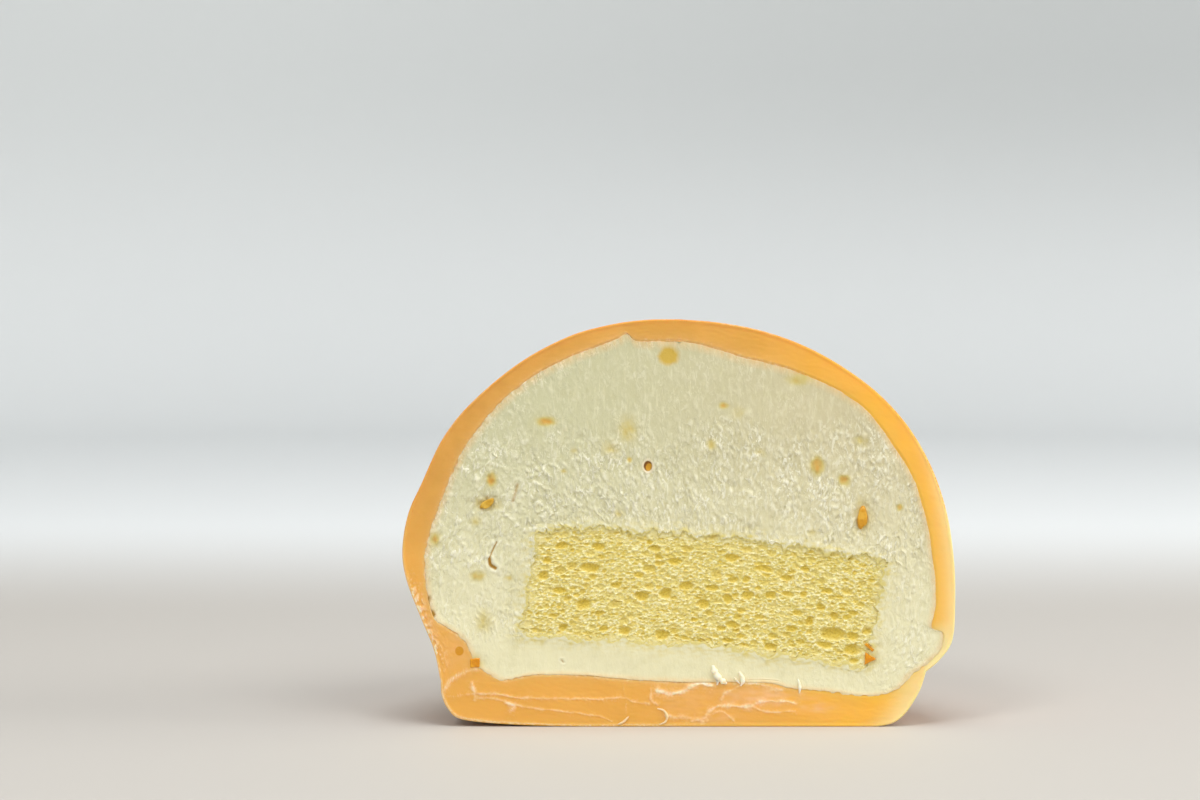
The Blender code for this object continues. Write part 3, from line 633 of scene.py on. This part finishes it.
def make_sponge(material):
    """The slab of sponge: its cut face is full of open cells, and its sides are plain."""
    columns, rows = SPONGE_GRID
    half = SPONGE_THICKNESS / 2
    a, b = np.meshgrid(
        np.linspace(-SPONGE_RADIUS, SPONGE_RADIUS, columns + 1), np.linspace(-half, half, rows + 1)
    )
    depth, golden, wall = open_cells(a, b)
    spots = pairs(a, b)
    crumb = lumps(spots, (0.3, 0.22), 3.0) + 0.6 * lumps(spots, (0.16, 0.13), 13.0)
    mound = lumps(spots, (3.2, 2.2), 6.0)
    edge = np.minimum((SPONGE_RADIUS - np.abs(a)) / 1.4, (half - np.abs(b)) / 1.1)
    edge = edge + 0.7 * lumps(spots, (1.1, 0.9), 12.0) + 0.5 * lumps(spots, (0.5, 0.4), 16.0)
    creamy = 1 - rise(edge, 0.1, 1.2)
    round_a, round_b = slab_rounded(a, b)
    across, up = slab_to_cut(round_a, round_b)
    behind = 0.3 + 0.08 * mound + 0.15 * crumb + depth
    behind = np.maximum(behind * (1 - 0.85 * creamy) + 0.2 * creamy, 0.2)
    face = np.stack([across, behind, up], axis=-1)
    sides = slab_sides(grid_rim(round_a), grid_rim(round_b), grid_rim(behind))
    plain = np.zeros(sides.shape[:2])
    # A painted highlight, strongest on the walls between the cells and where the crumb stands forward.
    highlight_share = np.clip(0.05 + 0.6 * wall - 0.7 * crumb, 0, 1)
    bm = bmesh.new()
    add_grid(bm, at_cut(face), {"golden": golden, "creamy": creamy, "highlight_share": highlight_share})
    add_grid(bm, at_cut(sides), {"creamy": plain + grid_rim(creamy), "highlight_share": plain + 0.5})
    closed(bm)
    return finished("sponge_crumb", bm, material, ["sponge_slab"])


def cream_relief(across, up, from_skin):
    """How far the cream's face stands back at each point, its torn strokes, and how rough it is there."""
    spots = pairs(across, up)
    warp = pairs(
        across + 0.7 * lumps(spots, (2.4, 2.4), 1.0) + 0.3 * lumps(spots, (0.9, 0.9), 11.0),
        up + 0.7 * lumps(spots, (2.4, 2.4), 5.0) + 0.3 * lumps(spots, (0.9, 0.9), 15.0),
    )
    stroke = np.clip(lumps(warp, (0.33, 0.62), 2.0) - 0.1, 0, 1) * 2.2
    ridge = np.clip(1 - np.abs(lumps(warp, (1.1, 2.6), 7.0)) * 5.5, 0, 1) ** 2
    pit = np.clip(lumps(warp, (0.5, 0.6), 23.0) - 0.22, 0, 1) * 2
    streak = lumps(spots, (0.55, 5.5), 4.0) + 0.5 * lumps(spots, (0.28, 3.0), 14.0)
    mound = lumps(spots, (5.0, 6.5), 9.0)
    band = rise(up, 18, 24) * (1 - rise(up + 3.5 * mound, 35, 47))
    left = 1 - rise(across + 3 * mound, -24, -15)
    right = rise(across + 3 * mound, 20, 30) * 0.75
    by_skin = np.exp(-from_skin / 1.6) * (1 - rise(across, -8, 6)) * rise(up, 14, 22)
    calm = 1 - rise(12 - up, -1, 2) * 0.8 * (1 - rise(across, 15, 23))
    places = [band, left * 0.6, right * 0.85, by_skin, 0.28 + 0 * up]
    rough = np.clip(np.maximum.reduce(places), 0, 1) * calm
    rough = np.clip(rough * (0.85 + 0.7 * lumps(spots, (3.0, 3.6), 17.0)), 0.05, 1)
    stroke = stroke * (1 - 0.85 * soft_spot(across, up, CALM_CORNER))
    back = CREAM_BACK + 0.12 * mound + 0.025 * streak
    back = back + rough * (0.1 - 0.15 * stroke - 0.16 * ridge + 0.16 * pit)
    return back, np.clip(stroke * rough, 0, 1), rough


def slab_outline():
    """Flat places round the slab's edge from its seam, one for each column of the cream's face."""
    edge, half = SPONGE_RADIUS, SPONGE_THICKNESS / 2
    seam = (SLAB_SEAM, half)
    corners = [seam, (edge, half), (edge, -half), (-edge, -half), (-edge, half), seam]
    return joined(*[
        np.linspace(start, end, columns + 1)
        for start, end, columns in zip(corners, corners[1:], SLAB_COLUMNS)
    ]).T


def lap_over_sponge(a, b):
    """How far the cream laps over the sponge at each place round its edge."""
    along = pairs(a, b)
    lap = 0.45 + 0.8 * lumps(along, (1.1, 1.1), 3.0) + 0.7 * lumps(along, (0.35, 0.35), 8.0)
    return np.clip(lap, 0.04, 1.3)


def lap_over_skin(spots):
    """How far the cream laps over the dough at each place round its rim."""
    crumbly = rise(spots[:, 0], 14, 19) * (1 - rise(spots[:, 1], 8, 11))
    crumbly = np.maximum(crumbly, (1 - rise(spots[:, 0], -26, -18)) * 0.8)
    lap = 0.1 + 0.12 * lumps(spots, (2.2, 2.2), 5.0) + 0.06 * lumps(spots, (0.4, 0.4), 2.0)
    lap = lap + crumbly * (0.08 + 0.4 * lumps(spots, (0.75, 0.75), 6.0))
    from_corner = np.hypot(spots[:, 0] - HEEL_CORNER[0], spots[:, 1] - HEEL_CORNER[1])
    return np.clip(lap, 0.03, 0.42) * (0.15 + 0.85 * rise(from_corner, 0.6, 2.0))


def fruit_in_cream(across, up):
    """How strongly fruit stains the cream at each point, and how deep its bits and the hole sit."""
    amber, seat = np.zeros(across.shape), np.zeros(across.shape)
    for stain in STAINS:
        amber = np.maximum(amber, stain[4] * soft_spot(across, up, stain))
    for x, z, wide, high, *_ in MANGO_BITS:
        halo = soft_spot(across, up, (x, z, wide * 1.4 + 0.1, high * 1.4 + 0.1))
        amber = np.maximum(amber, 0.5 * halo)
        seat = seat + 0.24 * halo
    amber = amber * (0.9 + 0.4 * lumps(pairs(across, up), (0.6, 0.6), 31.0))
    for spot, deep in ((HOLE, HOLE_DEPTH), (SLICE, SLICE_DEPTH)):
        seat = seat + deep * soft_spot(across, up, spot)
    return np.clip(amber, 0, 1), seat + 0.12 * amber


def tears_in_cream(across, up):
    """How torn the cream is at each point, and how white (a painted highlight) and how raised the lips of its
    tears are.
    """
    torn, lips, raised = (np.zeros(across.shape) for _ in range(3))
    for line, wide, deep in TEARS.values():
        away = to_line(across, up, line)
        lip = 0.9 * deep * bell((away - 2.3 * wide) / (0.8 * wide))
        torn = np.maximum(torn, deep * bell(away / wide))
        lips = np.maximum(lips, lip)
        raised = raised + 0.12 * lip
    return torn, lips, raised


def on_cut(across, up):
    """Points in the plane of the cut."""
    return np.stack([across, 0 * across, up], axis=-1)


def make_cream(material):
    """The whipped cream between skin and sponge, with its torn face, stains and tears."""
    lining = skin_lining(CREAM_WALL_STEPS, CREAM_FLOOR_STEPS)
    outer_way = outward(lining)
    lining = lining - outer_way * FIT
    rim = round_loop(lining)
    a, b = slab_outline()
    pocket_a, pocket_b = slab_rounded(a, b, FIT)
    pocket = on_cut(*slab_to_cut(pocket_a, pocket_b))
    lip = on_cut(*slab_to_cut(*slab_rounded(a, b, -lap_over_sponge(a, b))))
    share = np.linspace(0, 1, CREAM_ROWS - LIP_ROWS + 1)[:, None, None]
    lip_share = np.linspace(0, 1, LIP_ROWS)[1:, None, None]
    face = np.concatenate([
        rim * (1 - share) + pocket * share, pocket * (1 - lip_share) + lip * lip_share, pocket[None]
    ])
    lap = round_loop(outer_way) * lap_over_skin(rim[:, [0, 2]])[:, None]
    for row, reach in ((1, 1), (2, 0.8), (3, 0.3)):
        face[row] = rim + lap * reach

    across, up = face[..., 0], face[..., 2]
    from_skin = np.linalg.norm(face - rim, axis=-1)
    from_sponge = np.linalg.norm(face - pocket, axis=-1)
    from_sponge[-LIP_ROWS:] = 0
    back, stroke, rough = cream_relief(across, up, from_skin)
    amber, seat = fruit_in_cream(across, up)
    torn, lips, raised = tears_in_cream(across, up)
    back = back + seat + 0.2 * torn - raised
    meeting = np.exp(-from_sponge / 0.5)
    back = back * (1 - meeting) + np.minimum(back, 0.11) * meeting
    by_skin = np.exp(-from_skin / 0.5)
    back = np.maximum(back * (1 - by_skin) + 0.07 * by_skin, -0.14)
    back[[0, 1, -2, -1]] = np.array([0.2, 0.12, 0.15, 0.18])[:, None]
    face[..., 1] = back
    lining[0, :, 1] = back[0, : lining.shape[1]]
    lining[-1, :, 1] = back[0, lining.shape[1] - 1 :][::-1]

    spots = pairs(across, up)
    warm = np.exp(-((from_skin / 0.42) ** 1.5)) * (0.8 + 0.5 * lumps(spots, (0.5, 0.5), 35.0))
    soak = np.exp(-from_sponge / 0.9) * np.clip(0.35 + 1.3 * lumps(spots, (0.7, 0.35), 25.0), 0, 1)
    soak[-4:] = 1
    bm = bmesh.new()
    add_grid(bm, at_cut(face), {
        "stroke": np.maximum(stroke, lips), "rough": rough, "amber": amber, "torn": torn, "soak": soak,
        "warm": np.clip(warm, 0, 1),
    })
    add_grid(bm, at_cut(lining))
    add_grid(bm, at_cut(slab_sides(pocket_a, pocket_b, back[-1], FIT)))
    closed(bm)
    return finished("torn_cream", bm, material, ["whipped_cream"])


def make_mango(material):
    """Bits of mango set in the cream, each a lump cut flat in front, round or with soft corners."""
    bm = bmesh.new()
    ripe = bm.verts.layers.float.new("ripe")
    for i, (x, z, wide, high, turn, colour, corners) in enumerate(MANGO_BITS):
        lump = bmesh.ops.create_icosphere(bm, subdivisions=4, radius=1)["verts"]
        angle = math.radians(turn)
        for vert in lump:
            vert[ripe] = colour
            vert.co *= 1 + (0.08 if corners else 0.3) * noise.noise(vert.co * 0.9 + Vector((3.1 * i, 0, 7)))
            if corners:
                slice_of = 2 * math.pi / corners
                round_to = (math.atan2(vert.co.z, vert.co.x) + slice_of / 2) % slice_of - slice_of / 2
                squared = 1.42 * math.cos(slice_of / 2) / math.cos(round_to)
                vert.co.x *= squared
                vert.co.z *= squared
            vert.co.y = max(vert.co.y, -0.5 + 0.08 * noise.noise(vert.co * 3))
            side, rise_up = vert.co.x * wide, vert.co.z * high
            vert.co.x = x + side * math.cos(angle) - rise_up * math.sin(angle)
            vert.co.z = z + side * math.sin(angle) + rise_up * math.cos(angle)
            vert.co.y = CUT_Y + BIT_BACK + vert.co.y * 0.6
    return finished("mango_bits", bm, material)


def make_curls(material):
    """Curls of cream that the knife left on the cut, as tapered cords."""
    bm = bmesh.new()
    for line, thick in CURLS.values():
        path = smooth_through(line, CURL_STEPS)
        rings = []
        for i, ((x, z), ahead) in enumerate(zip(path, np.gradient(path, axis=0))):
            dx, dz = ahead / np.hypot(*ahead)
            share = i / CURL_STEPS
            size = thick * (0.25 + 0.75 * math.sin(math.pi * min(max(share, 0.04), 0.96)) ** 0.6)
            size *= 1 + 0.6 * noise.noise(Vector((x * 2.2, z * 2.2, 1)))
            ring = []
            for k in range(CURL_SIDES):
                angle = 2 * math.pi * k / CURL_SIDES
                side, behind = size * math.cos(angle), CUT_Y - 0.02 - size * 0.8 * math.sin(angle)
                ring.append(bm.verts.new((x - dz * side, behind, z + dx * side)))
            rings.append([bm.edges.new(pair) for pair in zip(ring, ring[1:] + ring[:1])])
        for before, after in zip(rings, rings[1:]):
            bmesh.ops.bridge_loops(bm, edges=before + after)
        bmesh.ops.holes_fill(bm, edges=[edge for edge in bm.edges if edge.is_boundary], sides=0)
    return finished("cream_curls", bm, material)


def make_grains(material, skin):
    """Loose grains of starch scattered on the skin's outside, away from the cut, the flat top and the bottom.
    """
    draw = random.Random(GRAIN_SEED)
    noise.seed_set(GRAIN_SEED)
    heart = Vector(HEART) + Vector((0, CUT_Y, 0))
    places = [
        (vert.co / MM, vert.normal)
        for vert in skin.data.vertices
        if vert.co.y / MM > CUT_Y + 0.5 and abs(vert.normal.z) < 0.97 and vert.co.z / MM > 2
    ]
    outer = [place for place in places if place[1].dot(place[0] - heart) > 0]
    bm = bmesh.new()
    for centre, normal in draw.sample(outer, GRAINS):
        size = GRAIN_SIZES[0] + (GRAIN_SIZES[1] - GRAIN_SIZES[0]) * draw.random() ** 3
        grain = bmesh.ops.create_icosphere(bm, subdivisions=1, radius=size)["verts"]
        for vert in grain:
            vert.co += centre - normal * size * 0.4 + 0.3 * size * noise.noise_vector(vert.co * 9)
    return finished("starch_grains", bm, material)


class Finish:
    """A material in the making. Its nodes read the Object coordinates and the attributes of the piece."""

    def __init__(self, name, roughness):
        self.material = bpy.data.materials.new(name)
        self.material.use_nodes = True
        self.tree = self.material.node_tree
        self.shader = self.tree.nodes["Principled BSDF"]
        self.shader.inputs["Roughness"].default_value = roughness
        self.place = self.node("TexCoord").outputs["Object"]

    def let_light_in(self, share, radius, scale):
        """Lets light spread inside, as it does in soft food: how much, and how far in each colour."""
        self.shader.inputs["Subsurface Weight"].default_value = share
        self.shader.inputs["Subsurface Radius"].default_value = radius
        self.shader.inputs["Subsurface Scale"].default_value = scale
        self.shader.inputs["IOR"].default_value = MOIST_IOR

    def node(self, kind, inputs=None, **settings):
        """A node with its settings and its inputs, which are values or other nodes' outputs."""
        made = self.tree.nodes.new("ShaderNode" + kind)
        for name, value in settings.items():
            setattr(made, name, value)
        for name, value in (inputs or {}).items():
            if isinstance(value, bpy.types.NodeSocket):
                self.tree.links.new(value, made.inputs[name])
            else:
                made.inputs[name].default_value = value
        return made

    def axes(self):
        """The three coordinates of each point, in metres."""
        return self.node("SeparateXYZ", {"Vector": self.place}).outputs

    def noise(self, size_mm, detail=3.0, rough=0.55, stretch=None, curl=0.0):
        """Noise whose lumps are about size_mm wide, and curled by a distortion."""
        place = self.place
        if stretch:
            place = self.node("Mapping", {"Vector": place, "Scale": stretch}).outputs["Vector"]
        inputs = {"Vector": place, "Scale": 1 / (size_mm * MM), "Detail": detail}
        return self.node("TexNoise", {**inputs, "Roughness": rough, "Distortion": curl}).outputs["Fac"]

    def value(self, name):
        """What a mesh attribute of the piece says at each point."""
        return self.node("Attribute", attribute_name=name).outputs["Fac"]

    def ramp(self, value, low, high, start=0.0, end=1.0):
        """The value taken from low..high to start..end, with a smooth step."""
        inputs = {"Value": value, "From Min": low, "From Max": high, "To Min": start, "To Max": end}
        return self.node("MapRange", inputs, interpolation_type="SMOOTHSTEP").outputs["Result"]

    def maths(self, operation, first, second):
        return self.node("Math", {0: first, 1: second}, operation=operation).outputs[0]

    def times(self, first, second):
        return self.maths("MULTIPLY", first, second)

    def vectors(self, operation, first, second):
        return self.node("VectorMath", {0: first, 1: second}, operation=operation).outputs[0]

    def far_from(self, spot, shift=(0, 0)):
        """How far each point is from a spot's middle, where its edge is 1."""
        x, z, wide, high = spot
        middle = ((x + shift[0]) * MM, 0, (z + shift[1]) * MM)
        away = self.vectors("SUBTRACT", self.place, middle)
        away = self.vectors("MULTIPLY", away, (1 / (wide * MM), 0, 1 / (high * MM)))
        return self.node("VectorMath", {0: away}, operation="LENGTH").outputs["Value"]

    def blend(self, share, first, second):
        """A colour between first and second, each an output or a display colour in 0..255."""
        inputs = {0: share}
        for socket, tone in ((6, first), (7, second)):
            inputs[socket] = tone if isinstance(tone, bpy.types.NodeSocket) else (*from_srgb(tone), 1)
        return self.node("Mix", inputs, data_type="RGBA").outputs[2]

    def coated(self, tone, coats):
        """The tone under coats of colour, each with its share: how much of it shows at each point."""
        for share, colour in coats:
            tone = self.blend(share, tone, colour)
        return tone

    def emboss(self, height, distance_mm, strength):
        """Fine relief on the surface."""
        inputs = {"Height": height, "Distance": distance_mm * MM, "Strength": strength}
        self.tree.links.new(self.node("Bump", inputs).outputs["Normal"], self.shader.inputs["Normal"])

    def finished(self, tone):
        """The material, with its colour in place."""
        self.tree.links.new(tone, self.shader.inputs["Base Color"])
        return self.material


def from_srgb(channels):
    """A display colour in 0..255 as linear light."""
    shares = [channel / 255 for channel in channels]
    return tuple(s / 12.92 if s <= 0.04045 else ((s + 0.055) / 1.055) ** 2.4 for s in shares)


def starch_specks(dough):
    """Soft round specks of starch, up to 3 mm across and some way apart, with crumbly edges."""
    crumbly = dough.node("TexNoise", {"Vector": dough.place, "Scale": 1 / (1.2 * MM), "Detail": 3.0})
    push = dough.vectors("SUBTRACT", crumbly.outputs["Color"], (0.5, 0.5, 0.5))
    pushed = dough.vectors("ADD", dough.place, dough.vectors("MULTIPLY", push, (1.6 * MM,) * 3))
    cells = dough.node("TexVoronoi", {"Vector": pushed, "Scale": 1 / (6.0 * MM), "Randomness": 1.0})
    size = dough.node("SeparateColor", {"Color": cells.outputs["Color"]}).outputs[0]
    room = dough.maths("SUBTRACT", dough.ramp(size, 0.62, 1.0, 0.0, 0.2), cells.outputs["Distance"])
    crumbs = dough.ramp(dough.noise(0.5, 3.0, 0.6), 0.38, 0.58, 0.25, 0.85)
    return dough.times(dough.ramp(room, -0.05, 0.09), crumbs)


def dough_finish():
    """Orange rice dough: satin and dusted with starch outside, moist at the cut, with painted glow, light and
    shade on its cut face.
    """
    dough = Finish("rice_dough", 0.42)
    dough.let_light_in(0.4, (1.0, 0.5, 0.16), 0.0016)
    x, _, z = dough.axes()
    at_cut_face = dough.value("cut")

    cloud = dough.ramp(dough.noise(9.0, 4.0), 0.35, 0.68)
    mottle = dough.noise(0.8, 5.0, 0.65)
    patch = dough.times(dough.ramp(dough.noise(17.0, 2.0), 0.53, 0.68), dough.ramp(mottle, 0.36, 0.62))
    dust = dough.maths("MAXIMUM", dough.times(patch, 0.5), starch_specks(dough))
    outside = dough.coated(dough.blend(cloud, (224, 144, 53), (230, 157, 69)), [
        (dough.ramp(mottle, 0.42, 0.7, 0.0, 0.45), (236, 172, 96)),
        (dust, (242, 212, 186)),
    ])

    # Painted light and shade on the cut dough: lighter towards the bottom for light bounced from the floor,
    # painted shade high on the left, lighter and more orange on the right for light coming through from that
    # side, and a paler painted glow near the edge.
    low = dough.ramp(z, 0.038, 0.018)
    right = dough.ramp(x, 0.004, 0.03)
    shaded_high_left = dough.times(dough.ramp(x, -0.004, -0.026), dough.ramp(low, 1.0, 0.0))
    soft = dough.ramp(dough.noise(5.0, 3.0, 0.5), 0.35, 0.65)
    pale = dough.blend(right, (250, 206, 152), (252, 227, 162))
    inside = dough.coated(dough.blend(low, (222, 166, 74), (236, 176, 80)), [
        (shaded_high_left, (214, 158, 72)),
        (right, (255, 191, 70)),
        (dough.times(soft, 0.3), (244, 184, 92)),
        (dough.value("painted_through_glow"), pale),
        (dough.value("veil"), (244, 194, 142)),
        (dough.ramp(dough.far_from(DOUGH_SPOT), 1.15, 0.85), (216, 150, 30)),
    ])

    torn = dough.ramp(dough.noise(0.28, 4.0, 0.7), 0.3, 0.7, -0.14, 0.14)
    white = dough.maths("ADD", dough.value("white"), torn)
    tone = dough.coated(dough.blend(at_cut_face, outside, inside), [
        (dough.ramp(white, 0.05, 0.6, 0.0, 0.8), (250, 208, 156)),
        (dough.ramp(white, 0.45, 0.95), (251, 231, 200)),
    ])
    powder = dough.times(dough.maths("SUBTRACT", 1.0, at_cut_face), dust)
    dough.emboss(dough.maths("ADD", dough.noise(0.3), powder), 0.04, 0.3)
    return dough.finished(tone)


def cream_finish():
    """Moist whipped cream: ivory, whiter on torn flakes (partly its own white, partly painted highlight),
    with painted shade in its fine hollows and painted light bounced from floor and skin; stained by fruit,
    deeper in its tears.
    """
    cream = Finish("whipped_cream", 0.38)
    cream.let_light_in(0.12, (1.0, 0.95, 0.6), 0.0004)
    x, _, z = cream.axes()
    rough, stain = cream.value("rough"), cream.value("amber")

    streak = cream.noise(0.55, 3.0, 0.55, (1.0, 1.0, 0.2), 0.5)
    cloud = cream.noise(2.6, 5.0, 0.6)
    grain = cream.noise(0.4, 3.0, 0.6, (1.0, 1.0, 0.55), 0.8)
    sand = cream.noise(0.2, 2.0, 0.5, (1.0, 1.0, 0.6))
    flake = cream.ramp(cream.noise(0.55, 3.0, 0.5, (1.0, 1.0, 0.42), 1.2), 0.55, 0.62)
    crowd = cream.ramp(cream.noise(3.2, 3.0, 0.6), 0.4, 0.58, 0.3, 1.0)
    # Whiter on torn strokes and flakes: partly the cream's own white, partly a painted highlight on the
    # raised strokes and bumps that the same noise gives the relief.
    flakes_and_glints = cream.maths("MAXIMUM", cream.ramp(grain, 0.58, 0.68), cream.times(flake, 0.9))
    flakes_and_glints = cream.times(cream.times(flakes_and_glints, rough), crowd)
    white = cream.maths("MAXIMUM", cream.times(cream.value("stroke"), 0.7), flakes_and_glints)

    wavy = cream.times(cream.noise(1.0), 0.5)
    in_slice = cream.ramp(cream.maths("ADD", cream.far_from(SLICE), wavy), 1.5, 0.85, 0.0, 0.92)
    from_hole = cream.far_from(HOLE)
    # A painted highlight on the hole's raised rim; inside it, painted shade on the side away from the light.
    lip = cream.times(cream.ramp(from_hole, 1.75, 1.25), cream.ramp(from_hole, 0.9, 1.15))
    in_hole = cream.ramp(from_hole, 1.1, 0.85)
    shaded = cream.times(in_hole, cream.ramp(cream.far_from(HOLE, HOLE_LIT_SIDE), 0.72, 1.0))

    # Warmer towards the right, painted light bounced from the skin; lighter towards the bottom, painted light
    # bounced from the floor.
    tone = cream.blend(cream.ramp(x, -0.02, 0.03), (207, 205, 167), (211, 201, 164))
    tone = cream.coated(tone, [
        (cream.ramp(z, 0.044, 0.01), (236, 231, 193)),
        (cream.ramp(streak, 0.52, 0.68, 0.0, 0.3), (240, 236, 204)),
        (cream.ramp(cloud, 0.45, 0.8, 0.0, 0.35), (202, 196, 146)),
        (white, (255, 252, 230)),
        # Darker where the fine grain and sand sink, painted shade in the hollows of the relief; whiter where
        # the sand rises, a painted highlight on its crests.
        (cream.times(cream.ramp(grain, 0.44, 0.34, 0.0, 0.5), rough), (200, 190, 136)),
        (cream.times(cream.ramp(sand, 0.6, 0.74, 0.0, 0.7), rough), (255, 252, 228)),
        (cream.times(cream.ramp(sand, 0.38, 0.28, 0.0, 0.45), rough), (196, 184, 126)),
        (cream.times(cream.value("soak"), 0.8), (222, 204, 108)),
        (cream.times(cream.value("warm"), 0.6), (236, 190, 122)),
        (cream.ramp(stain, 0.0, 0.5), (212, 196, 122)),
        (cream.ramp(stain, 0.3, 0.9), (214, 160, 68)),
        (in_slice, (212, 176, 62)),
        (cream.times(lip, 0.8), (250, 236, 204)),
        (in_hole, (214, 158, 40)),
        (shaded, (136, 86, 22)),
        (cream.ramp(cream.value("torn"), 0.1, 0.7), (176, 130, 40)),
    ])
    fine = cream.times(cream.maths("ADD", flake, cream.times(sand, 0.5)), rough)
    fine = cream.maths("ADD", fine, cream.times(grain, 0.6))
    hollow = cream.maths("SUBTRACT", cream.times(lip, 1.5), cream.times(in_hole, 3.0))
    cream.emboss(cream.maths("ADD", fine, hollow), 0.09, 0.8)
    return cream.finished(tone)


def smear_finish():
    """Cream smeared with dough: warm white and moist."""
    smear = Finish("smeared_cream", 0.35)
    smear.let_light_in(0.85, (1.0, 0.8, 0.6), 0.0005)
    _, _, z = smear.axes()
    tone = smear.blend(smear.ramp(smear.noise(0.6), 0.4, 0.65), (252, 244, 222), (250, 230, 200))
    return smear.finished(smear.blend(smear.ramp(z, 0.004, 0.003, 0.0, 0.7), tone, (246, 200, 146)))


def sponge_finish():
    """Sponge crumb: pale yellow walls, rough and moist, with painted highlights and painted shade in the
    grain, and golden open cells, their gold painted light scattered inside.
    """
    sponge = Finish("sponge_crumb", 0.5)
    sponge.let_light_in(0.15, (1.0, 0.8, 0.35), 0.0005)
    cloud = sponge.ramp(sponge.noise(2.5, 4.0), 0.35, 0.68)
    grain = sponge.noise(0.26, 4.0, 0.65, (0.6, 1.0, 1.0))
    # A painted highlight on the walls and the grain's crests, and painted shade where the grain sinks.
    light = sponge.times(sponge.ramp(sponge.value("highlight_share"), 0.1, 0.8), sponge.ramp(grain, 0.42, 0.6))
    tone = sponge.coated(sponge.blend(cloud, (236, 223, 149), (228, 214, 131)), [
        (sponge.ramp(grain, 0.48, 0.34, 0.0, 0.7), (212, 184, 78)),
        (light, (252, 244, 196)),
        # Gold in the cells: painted light scattered inside the crumb.
        (sponge.times(sponge.value("golden"), 0.8), (224, 193, 56)),
        (sponge.times(sponge.value("creamy"), 0.55), (234, 224, 168)),
    ])
    sponge.emboss(grain, 0.1, 0.7)
    return sponge.finished(tone)


def mango_finish():
    """Bits of mango, from old gold to deep orange, in soft clouds."""
    mango = Finish("mango", 0.3)
    mango.let_light_in(0.05, (1.0, 0.7, 0.3), 0.0004)
    cloud = mango.ramp(mango.noise(0.9), 0.38, 0.64)
    pale = mango.blend(cloud, (192, 154, 42), (214, 182, 78))
    deep = mango.blend(cloud, (222, 138, 8), (242, 168, 30))
    mango.emboss(mango.noise(0.4), 0.04, 0.4)
    return mango.finished(mango.blend(mango.value("ripe"), pale, deep))


def starch_finish():
    """Grains of starch, matt and nearly white."""
    starch = Finish("starch", 0.9)
    starch.let_light_in(0.2, (1.0, 0.9, 0.8), 0.0005)
    return starch.finished(starch.blend(starch.noise(0.5), (250, 232, 214), (255, 250, 240)))


def studio_finish():
    """A matt floor, grey near the cake and white behind it, under a cool wall."""
    studio = Finish("studio_floor", 0.7)
    x, y, z = studio.axes()
    floor = studio.blend(studio.ramp(y, FAR_TONE_START, FAR_TONE_END), (192, 188, 182), (240, 243, 244))
    wall = studio.blend(studio.ramp(x, -0.25, 0.25), (218, 221, 221), (203, 206, 206))
    return studio.finished(studio.blend(studio.ramp(z, 0.02, 0.16), floor, wall))


def make_stage(material):
    """A pale floor that turns up into a wall all round."""
    bm = bmesh.new()
    curve = [(0, 0), (FLOOR_RADIUS, 0)]
    for k in range(1, BEND_STEPS + 1):
        angle = math.pi / 2 * k / BEND_STEPS
        curve.append((FLOOR_RADIUS + WALL_ROUND * math.sin(angle), WALL_ROUND * (1 - math.cos(angle))))
    curve.append((FLOOR_RADIUS + WALL_ROUND, WALL_TOP))
    verts = [bm.verts.new((x, 0, z)) for x, z in curve]
    edges = [bm.edges.new(pair) for pair in zip(verts, verts[1:])]
    bmesh.ops.spin(
        bm, geom=verts + edges, cent=(0, 0, 0), axis=(0, 0, 1), angle=2 * math.pi, steps=STAGE_SIDES,
        use_merge=True,
    )
    meshed("studio_floor", bm, material)


def light_the_scene():
    """The lamps, and a faint even light from all round."""
    for name, (place, size, power, colour) in LAMPS.items():
        lamp = bpy.data.lights.new(name, "AREA")
        lamp.size = size
        lamp.energy = power
        lamp.color = colour
        holder = linked(name, lamp)
        holder.location = place
        holder.rotation_euler = (Vector(LAMP_AIM) - Vector(place)).to_track_quat("-Z", "Y").to_euler()
    world = bpy.data.worlds.new("studio")
    bpy.context.scene.world = world
    world.use_nodes = True
    air = world.node_tree.nodes["Background"]
    air.inputs["Color"].default_value = (0.96, 0.98, 1.0, 1)
    air.inputs["Strength"].default_value = 0.17
    bpy.context.scene.view_settings.view_transform = "Standard"


def make_camera():
    """The camera at the photograph's viewing angle, level from left to right."""
    camera = bpy.data.cameras.new("camera")
    camera.sensor_width = SENSOR
    camera.lens = SENSOR * FOCAL_PIXELS / FRAME_WIDTH
    camera.clip_start = 0.01
    holder = linked("camera", camera)
    holder.location = (CAMERA_ASIDE * MM, (CUT_Y - CAMERA_BACK) * MM, CAMERA_UP * MM)
    holder.rotation_euler = (math.pi / 2 - PITCH, 0, 0)
    bpy.context.scene.camera = holder


make_camera()
make_stage(studio_finish())
light_the_scene()
skin = make_skin(dough_finish())
make_sponge(sponge_finish())
make_cream(cream_finish())
make_mango(mango_finish())
make_curls(smear_finish())
make_grains(starch_finish(), skin)
